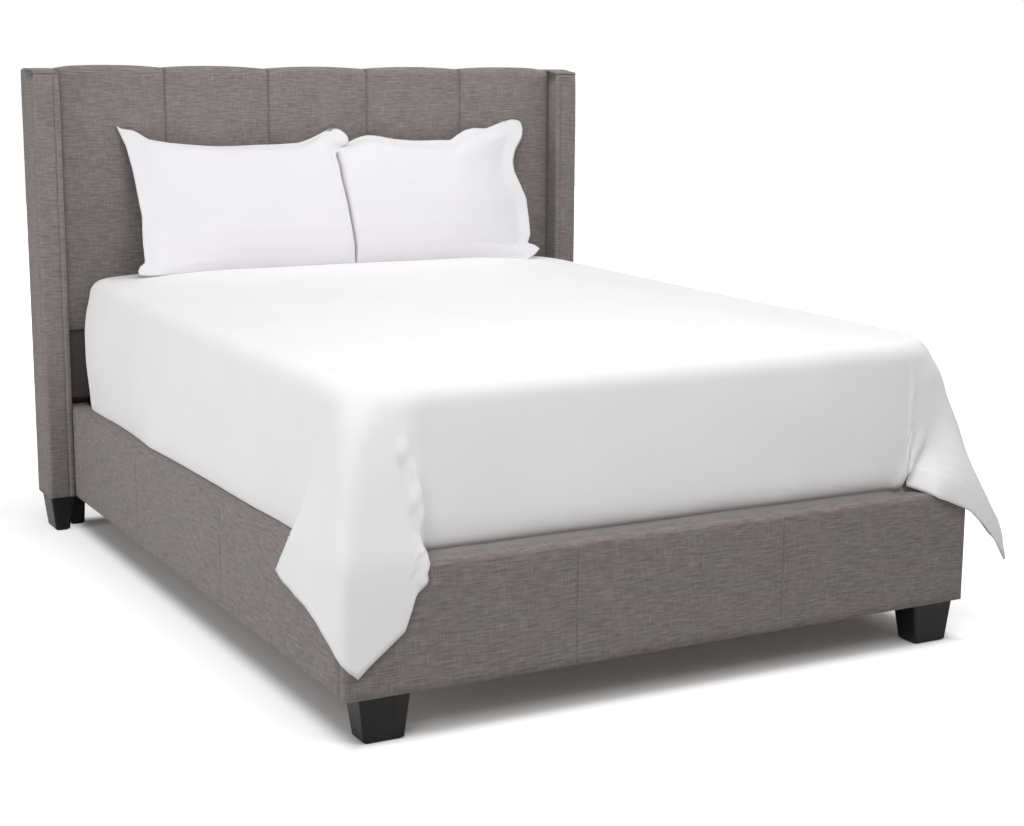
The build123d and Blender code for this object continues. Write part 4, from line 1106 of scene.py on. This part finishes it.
foot_rim = [hang(column, 0.0) for column in foot_line]
head_rim = [hang(column, 0.0) for column in head_line]
side_rim = {side: [hang(column, 0.0) for column in side_lines[side]] for side in (-1, 1)}
u_shares, v_shares = shares_along(foot_line), shares_along(side_lines[-1])
count_x, count_y = len(foot_line) - 1, len(side_lines[-1]) - 1
bm = bmesh.new()
bmesh.ops.create_grid(bm, x_segments=count_x, y_segments=count_y, size=0.5)
column_of = {}
for vertex in bm.verts:
    i, j = round((vertex.co.x + 0.5) * count_x), round((vertex.co.y + 0.5) * count_y)
    vertex.co = top_place(i, j)
    if i in (0, count_x):
        column_of[vertex] = side_lines[-1 if i == 0 else 1][j]
    elif j in (0, count_y):
        column_of[vertex] = (foot_line if j == 0 else head_line)[i]
print("top:", len(bm.faces), "faces")

# %% [markdown]
# `extrude_edge_only` pulls a new row of faces down from the rim. A new vertex is tied by an edge to the one it
# came from, and that is how it gets its column. Rows lie closest together where the cloth turns in above the
# rail.

# %% Extrude the rim down in rows
row_shares = []
for start, end, count in ((0.0, 0.72, 27), (0.72, 0.80, 5), (0.80, 0.85, 18), (0.85, 1.0, 6)):
    row_shares += [start + (end - start) * (i + 1) / count for i in range(count)]
ring = [edge for edge in bm.edges if edge.is_boundary]
last = dict(column_of)
for share in row_shares:
    grown = bmesh.ops.extrude_edge_only(bm, edges=ring)["geom"]
    fresh = {item for item in grown if isinstance(item, bmesh.types.BMVert)}
    ring = [item for item in grown if isinstance(item, bmesh.types.BMEdge) and set(item.verts) <= fresh]
    above = {}
    for vertex in fresh:
        others = [edge.other_vert(vertex) for edge in vertex.link_edges]
        column = next(last[other] for other in others if other in last)
        vertex.co = hang(column, share)
        above[vertex] = column
    last = above
    column_of.update(above)
for vertex in bm.verts:
    rounder(vertex.co)
print("with skirts:", len(bm.faces), "faces")

# %% Part the loose corners from the tucked cloth
# Above the rail the cloth is whole. Below it, the loose corner lies outside and the tucked cloth inside.
whole_above = 0.392


def parted(face):
    """True for a face that would join loose and tucked cloth through the rail."""
    found = [column_of[vertex] for vertex in face.verts if vertex in column_of]
    if len(found) < 4 or face.calc_center_median().z > whole_above:
        return False
    for zone in ("side", "foot"):
        places = [(side, place) for kind, side, place in found if kind == zone]
        if len(places) == 4:
            edge = loose_corners[places[0][0]][zone + "_edge"]
            if min(place for _, place in places) <= edge < max(place for _, place in places):
                return True
    return False


to_part = [face for face in bm.faces if parted(face)]
print("faces parted:", len(to_part))
bmesh.ops.delete(bm, geom=to_part, context="FACES")
bmesh.ops.recalc_face_normals(bm, faces=bm.faces)
highest = max(bm.faces, key=lambda face: face.calc_center_median().z)
if highest.normal.z < 0:
    bmesh.ops.reverse_faces(bm, faces=bm.faces)

# %% [markdown]
# Cotton over soft filling is never quite even. Broad low waves go over all of it, the loose corners get a fan of
# small crumples as well, and the tucked sides get upright ripples above the rail. The turns of the loose corners
# are then smoothed by repeated passes that start higher up each time, so that their hems stay outside the rail.

# %% Soft unevenness of the cloth
def unevenness(vertex):
    """How far the cloth rises here: broad waves on top, crumples on a loose corner, ripples on the rest."""
    co = vertex.co
    broad = 0.0020 * wander(co, 3.0, 1.0) + 0.0010 * wander(co, 8.0, 4.0)
    if vertex not in column_of:
        return broad
    zone, side, place = column_of[vertex]
    if zone == "corner" or (zone in ("side", "foot") and place <= loose_corners[side][zone + "_edge"]):
        fan = 0.0030 * wander((co.x * 2.2, co.y * 2.2, co.z * 0.6), 9.0, 9.0)
        crumple = 0.0016 * wander(co, 26.0, 6.0)
        near_edge = smoothstep(0.025, 0.07, place) if zone == "foot" else 0.0
        near_edge *= 0.0130 * wander((co.x, co.y, co.z * 1.2), 27.0, 8.0)
        return abs(fan + crumple + near_edge) * smoothstep(0.72, 0.60, co.z) + broad * 0.3
    ripple = 0.0016 * wander((co.x, co.y, co.z * 0.35), 22.0, 2.0) * smoothstep(0.56, 0.43, co.z)
    return (broad * 1.3 + ripple) * smoothstep(0.390, 0.42, co.z)


push(bm, unevenness)
print("moved", len(bm.verts), "vertices")


# %% Smooth the turns and finish the duvet
def in_turn(vertex):
    """True low on a loose corner, where its cloth turns from the side to the foot."""
    zone, _, place = column_of.get(vertex, ("top", 0, 0.0))
    near_corner = zone == "corner" or (zone in ("side", "foot") and place < 0.03)
    return near_corner and vertex.co.z < 0.62


inside_cloth = [vertex for vertex in bm.verts if not vertex.is_boundary]
smooth(bm, inside_cloth, 0.3)
turns = [vertex for vertex in inside_cloth if in_turn(vertex)]
for lowest in (0.0, 0.0, 0.37, 0.40, 0.43, 0.46):
    smooth(bm, [vertex for vertex in turns if vertex.co.z > lowest], 0.5, upright=False)
duvet = finish_piece(bm, "duvet_cloth", "duvet", "bedding_cotton", body="duvet")
thickness = duvet.modifiers.new("thickness", "SOLIDIFY")
thickness.thickness = 0.005
thickness.offset = -1.0
area = sum(polygon.area for polygon in duvet.data.polygons)
print("duvet cloth area", round(area, 2), "m2")

# %% [markdown]
# ## Pillows
#
# Each pillow is a bag with a flat flange. Its outline is four lines of points, with the slack ears that such
# corners make, and a grid blends them. A copy of the grid makes the back. Both swell between the flange seams and
# meet at the rim. Where the two pillows touch, each has a plump rounded wall in place of a flange. The pillows
# lean back on the headboard, so they are shaped flat first and then turned into place.

# %% Pillow outlines
pillow_lean = radians(22.5)
pillow_base = Vector((0.0, foot_y + 1.918, 0.7796))
pillow_rise = Vector((0.0, sin(pillow_lean), cos(pillow_lean)))
pillow_front = Vector((0.0, -cos(pillow_lean), sin(pillow_lean)))
pillow_edges = {
    -1: {
        "bottom": (
            (-0.651, -0.004), (-0.622, -0.010), (-0.523, -0.009), (-0.472, -0.008), (-0.25, -0.009),
            (-0.134, -0.011), (0.036, -0.014),
        ),
        "outer": (
            (-0.651, -0.004), (-0.655, 0.008), (-0.646, 0.024), (-0.629, 0.034), (-0.627, 0.092),
            (-0.617, 0.180), (-0.621, 0.256), (-0.625, 0.332), (-0.634, 0.396), (-0.657, 0.466),
        ),
        "inner": (
            (0.036, -0.014), (0.025, 0.100), (0.019, 0.250), (0.027, 0.346), (0.047, 0.372), (0.080, 0.390),
        ),
        "top": (
            (-0.657, 0.466), (-0.644, 0.453), (-0.630, 0.450), (-0.603, 0.447), (-0.582, 0.435),
            (-0.560, 0.419), (-0.503, 0.408), (-0.384, 0.397), (-0.306, 0.395), (-0.154, 0.398),
            (-0.076, 0.401), (-0.036, 0.414), (0.006, 0.433), (0.034, 0.447), (0.058, 0.436),
            (0.080, 0.415), (0.083, 0.397), (0.080, 0.390),
        ),
    },
    1: {
        "bottom": (
            (0.039, -0.014), (0.165, -0.013), (0.347, -0.011), (0.446, -0.011), (0.554, -0.016),
            (0.636, -0.018), (0.668, -0.003),
        ),
        "outer": (
            (0.668, -0.003), (0.698, 0.019), (0.674, 0.034), (0.656, 0.037), (0.673, 0.067),
            (0.682, 0.140), (0.687, 0.187), (0.674, 0.235), (0.661, 0.278), (0.663, 0.314),
            (0.679, 0.351), (0.714, 0.395), (0.722, 0.424), (0.714, 0.457),
        ),
        "inner": (
            (0.039, -0.014), (0.028, 0.100), (0.022, 0.250), (0.030, 0.346), (0.035, 0.380), (0.044, 0.398),
        ),
        "top": (
            (0.044, 0.398), (0.088, 0.405), (0.114, 0.417), (0.137, 0.424), (0.158, 0.428),
            (0.189, 0.424), (0.251, 0.411), (0.304, 0.407), (0.440, 0.406), (0.465, 0.423),
            (0.496, 0.440), (0.531, 0.448), (0.575, 0.446), (0.599, 0.454), (0.636, 0.468),
            (0.674, 0.477), (0.698, 0.474), (0.714, 0.457),
        ),
    },
}
print("outline points:", sum(len(line) for edges in pillow_edges.values() for line in edges.values()))

# %% Pillow shapes
# The bag inside the flange ends at bag_top, and wall_share of a pillow's cells go round its inner wall.
pillow_half = 0.074
flange = 0.044
flange_cloth = 0.0015
bag_top = 0.425
wall_share = 0.12
swell_from_bottom = ((0.0, 0.0), (0.012, 0.22), (0.030, 0.50), (0.06, 0.76), (0.11, 0.94), (0.18, 1.0))
swell_from_top = ((0.0, 0.0), (0.008, 0.22), (0.028, 0.48), (0.07, 0.76), (0.14, 0.95), (0.20, 1.0))
seam_radius = {-1: 0.028, 1: 0.012}


def part_way(points, share):
    """The place at a share of the length of a line of points."""
    lengths = [hypot(b[0] - a[0], b[1] - a[1]) for a, b in zip(points, points[1:])]
    left = share * sum(lengths)
    for (a, b), length in zip(zip(points, points[1:]), lengths):
        if left <= length:
            break
        left -= length
    step = min(1.0, left / length)
    return Vector((a[0] + (b[0] - a[0]) * step, a[1] + (b[1] - a[1]) * step))


def pillow_sheet(side, u, v):
    """A place in the pillow's outline: u from its left to its right, v from its bottom to its top."""
    edges = pillow_edges[side]
    left, right = (edges["outer"], edges["inner"]) if side < 0 else (edges["inner"], edges["outer"])
    place = part_way(edges["bottom"], u) * (1 - v) + part_way(edges["top"], u) * v
    place += part_way(left, v) * (1 - u) + part_way(right, v) * u
    place -= Vector(left[0]) * (1 - u) * (1 - v) + Vector(right[0]) * u * (1 - v)
    place -= Vector(left[-1]) * (1 - u) * v + Vector(right[-1]) * u * v
    return place


def half_thickness(side, u, v):
    """Half the thickness: it grows from the flange, the bottom and the top, and stays thick at the inner wall."""
    a, b = pillow_sheet(side, u, v)
    outer = abs(pillow_sheet(side, 0.0 if side < 0 else 1.0, v).x) - flange
    share = min(1.0, max(0.0, (outer - a * side) / outer))
    across = 1.0 - max(0.0, 1.0 - 1.9 * share) ** 2.2
    above = b - pillow_sheet(side, u, 0.0).y
    below = min(pillow_sheet(side, u, 1.0).y, bag_top) - b
    thin_ear = 1.0 - smoothstep(0.335, 0.375, b) * smoothstep(0.030, 0.072, a) if side < 0 else 1.0
    return pillow_half * across * through(swell_from_bottom, above) * through(swell_from_top, below) * thin_ear


def u_from_seam(side, share):
    """Turns a share of the width, from the edge where the pillows meet, into u."""
    return 1.0 - share if side < 0 else share


def seam_wall(side, u, v):
    """Rounds the inner edge into a wall. Gives the place in the sheet, the half thickness and the edge's x."""
    from_seam = u_from_seam(side, u)
    seam_x, seam_height = pillow_sheet(side, u_from_seam(side, 0.0), v)
    thick = half_thickness(side, u_from_seam(side, 0.0), v)
    radius = max(1e-5, min(seam_radius[side], 0.8 * thick))
    if from_seam < wall_share:
        walked = (1.0 - from_seam / wall_share) * (quarter * radius + thick - radius)
        turn = min(quarter, walked / radius)
        bulge = thick - radius + radius * cos(turn) - max(0.0, walked - quarter * radius)
        return seam_x + side * radius * (1.0 - sin(turn)), seam_height, bulge, seam_x
    start = radius / abs(pillow_sheet(side, 1.0, v).x - pillow_sheet(side, 0.0, v).x)
    flat = start + (from_seam - wall_share) / (1.0 - wall_share) * (1.0 - start)
    a, b = pillow_sheet(side, u_from_seam(side, flat), v)
    off = seam_x + side * radius - pillow_sheet(side, u_from_seam(side, start), v).x
    a += off * max(0.0, 1.0 - (flat - start) / 0.2)
    return a, b, half_thickness(side, u_from_seam(side, flat), v), seam_x


def pillow_point(side, u, v, face):
    """A point of the pillow, on its front (face 1) or its back (face -1)."""
    a, b, bulge, seam_x = seam_wall(side, u, v)
    rim = min(u, 1 - u, v, 1 - v) < 1e-6
    loose = 1.0 - smoothstep(0.0, 0.012, bulge)
    wave = 0.004 * loose * wander((a, b, 0.0), 14.0, 11.0 + side) * smoothstep(0.0, 0.06, abs(a - seam_x))
    if side < 0:
        wave += 0.026 * smoothstep(0.010, 0.055, a) * smoothstep(0.34, 0.39, b)
    crease = 0.0022 * wander((a * 1.6, b * 0.8, face), 11.0, 3.0 + side)
    near_corner = exp(-hypot(abs(a) - 0.60, b - 0.40) / 0.09)
    crease += 0.0042 * wander((a * 0.8 + b, b * 2.0 - a, face), 17.0, side) * near_corner
    crease *= smoothstep(0.0, 0.02, bulge) * smoothstep(0.0, 0.10, abs(a - seam_x))
    depth = face * (max(0.0, bulge) + (0.0 if rim else flange_cloth)) + wave + crease
    return Vector((a, pillow_base.y, pillow_base.z)) + pillow_rise * b + pillow_front * depth


# %% Make the pillows
def pillow(side_name, side):
    """One pillow: two grids that meet at the rim."""
    cells_x, cells_y = 84, 60
    bm = bmesh.new()
    bmesh.ops.create_grid(bm, x_segments=cells_x, y_segments=cells_y, size=0.5)
    back = bmesh.ops.duplicate(bm, geom=bm.verts[:] + bm.edges[:] + bm.faces[:])["geom"]
    back_verts = {item for item in back if isinstance(item, bmesh.types.BMVert)}
    for vertex in bm.verts:
        u, v = vertex.co.x + 0.5, vertex.co.y + 0.5
        vertex.co = pillow_point(side, u, v, -1 if vertex in back_verts else 1)
    bmesh.ops.remove_doubles(bm, verts=bm.verts, dist=0.00005)
    bmesh.ops.recalc_face_normals(bm, faces=bm.faces)
    smooth(bm, bm.verts[:], 0.4)
    name, cushion = "pillow_" + side_name, "pillow_cushion_" + side_name
    return finish_piece(bm, cushion, name, "bedding_cotton", body=name, finish="pillow_cotton_painted_shade")


for side_name, side in sides:
    pillow(side_name, side)

# %% [markdown]
# ## Studio
#
# A white floor takes the soft shadow of the bed. Only the camera, mirrors and glass see the world as pure
# white: the light that it really gives is much weaker, so that nothing on the bed is washed out. Six soft square
# lamps light the bed. The strongest stands low on the left and lights that side and the pillows' flank, two high
# ones light the headboard and the right side, and the others open the shadows at the foot, at the near corner and
# on the pillows.

# %% World
def seen_directly(tree):
    """1 for rays from the camera, and for those seen in gloss or through glass."""
    path = add(tree, "ShaderNodeLightPath")
    seen = math_node(tree, "MAXIMUM", path.outputs["Is Camera Ray"], path.outputs["Is Glossy Ray"])
    return math_node(tree, "MAXIMUM", seen, path.outputs["Is Transmission Ray"])


bpy.context.scene.view_settings.view_transform = "Standard"
studio = bpy.data.worlds.new("studio")
bpy.context.scene.world = studio
studio.use_nodes = True
tree = studio.node_tree
sky = tree.nodes["Background"]
sky.inputs["Color"].default_value = (1.0, 1.0, 1.0, 1.0)
strength = add(tree, "ShaderNodeMapRange", To_Min=0.10, To_Max=1.0)
wire(tree, seen_directly(tree), strength.inputs["Value"])
wire(tree, strength.outputs["Result"], sky.inputs["Strength"])
print("world:", studio.name)

# %% White floor
# The floor glows for the camera, more with the distance from the bed: painted light that fades it to the white of
# the background and narrows the bed's shadow to a band close to it.
white, pale = (1.0, 1.0, 1.0, 1.0), (0.72, 0.72, 0.72, 1.0)
floor_values = {"Base_Color": pale, "Emission_Color": white, "Specular_IOR_Level": 0.1}
tree, shader = new_material("studio_floor", 0.9, **floor_values)
parts = add(tree, "ShaderNodeSeparateXYZ")
wire(tree, object_vector(tree), parts.inputs[0])
beside = [
    math_node(tree, "SUBTRACT", math_node(tree, "ABSOLUTE", parts.outputs[axis]), half)
    for axis, half in ((0, frame_half - 0.02), (1, -foot_y))
]
outside = math_node(tree, "MAXIMUM", *beside)
near_range = {"From_Min": -0.035, "From_Max": 0.040, "To_Min": 0.04, "To_Max": 0.55}
near = add(tree, "ShaderNodeMapRange", {"interpolation_type": "SMOOTHSTEP"}, **near_range)
far = add(tree, "ShaderNodeMapRange", From_Min=0.05, From_Max=2.5, To_Min=0.0, To_Max=1.0)
wire(tree, outside, near.inputs["Value"])
wire(tree, outside, far.inputs["Value"])
glow = math_node(tree, "ADD", near.outputs["Result"], far.outputs["Result"])
# Painted light: the glow is faint under the bed and rises steeply just outside its frame.
wire(tree, math_node(tree, "MULTIPLY", seen_directly(tree), glow), shader.inputs["Emission Strength"])

bm = bmesh.new()
bmesh.ops.create_grid(bm, x_segments=1, y_segments=1, size=14.0)
mesh = bpy.data.meshes.new("floor")
bm.to_mesh(mesh)
bm.free()
mesh.materials.append(finishes["studio_floor"])
floor = bpy.data.objects.new("floor", mesh)
bpy.context.scene.collection.objects.link(floor)
print("floor:", round(floor.dimensions.x, 1), "m wide")

# %% Lamps
# Each lamp has a place, a target that it points at, the side of its square and its power.
lamps = {
    "over_head": ((-0.9, -1.5, 3.3), (0.0, 0.9, 1.0), 2.0, 40.0),
    "from_left": ((-4.0, 0.3, 1.1), (0.0, 0.2, 0.5), 1.8, 53.0),
    "over_foot": ((0.2, -2.5, 2.5), (0.0, -1.05, 0.6), 1.2, 24.0),
    "from_corner": ((-2.6, -3.2, 2.2), (-0.7, -1.0, 0.5), 1.6, 27.0),
    "from_right": ((3.0, -0.5, 3.0), (0.0, 0.0, 0.6), 2.2, 40.0),
    "over_pillows": ((0.4, 1.0, 2.9), (0.4, 1.0, 0.6), 1.8, 20.0),
}
for name, (place, target, size, power) in lamps.items():
    light = bpy.data.lights.new(name, "AREA")
    light.size = size
    light.energy = power
    holder = bpy.data.objects.new(name, light)
    aim = (Vector(target) - Vector(place)).to_track_quat("-Z", "Y")
    holder.matrix_world = Matrix.Translation(place) @ aim.to_matrix().to_4x4()
    bpy.context.scene.collection.objects.link(holder)
print(len(lamps), "lamps,", sum(power for *_, power in lamps.values()), "W")
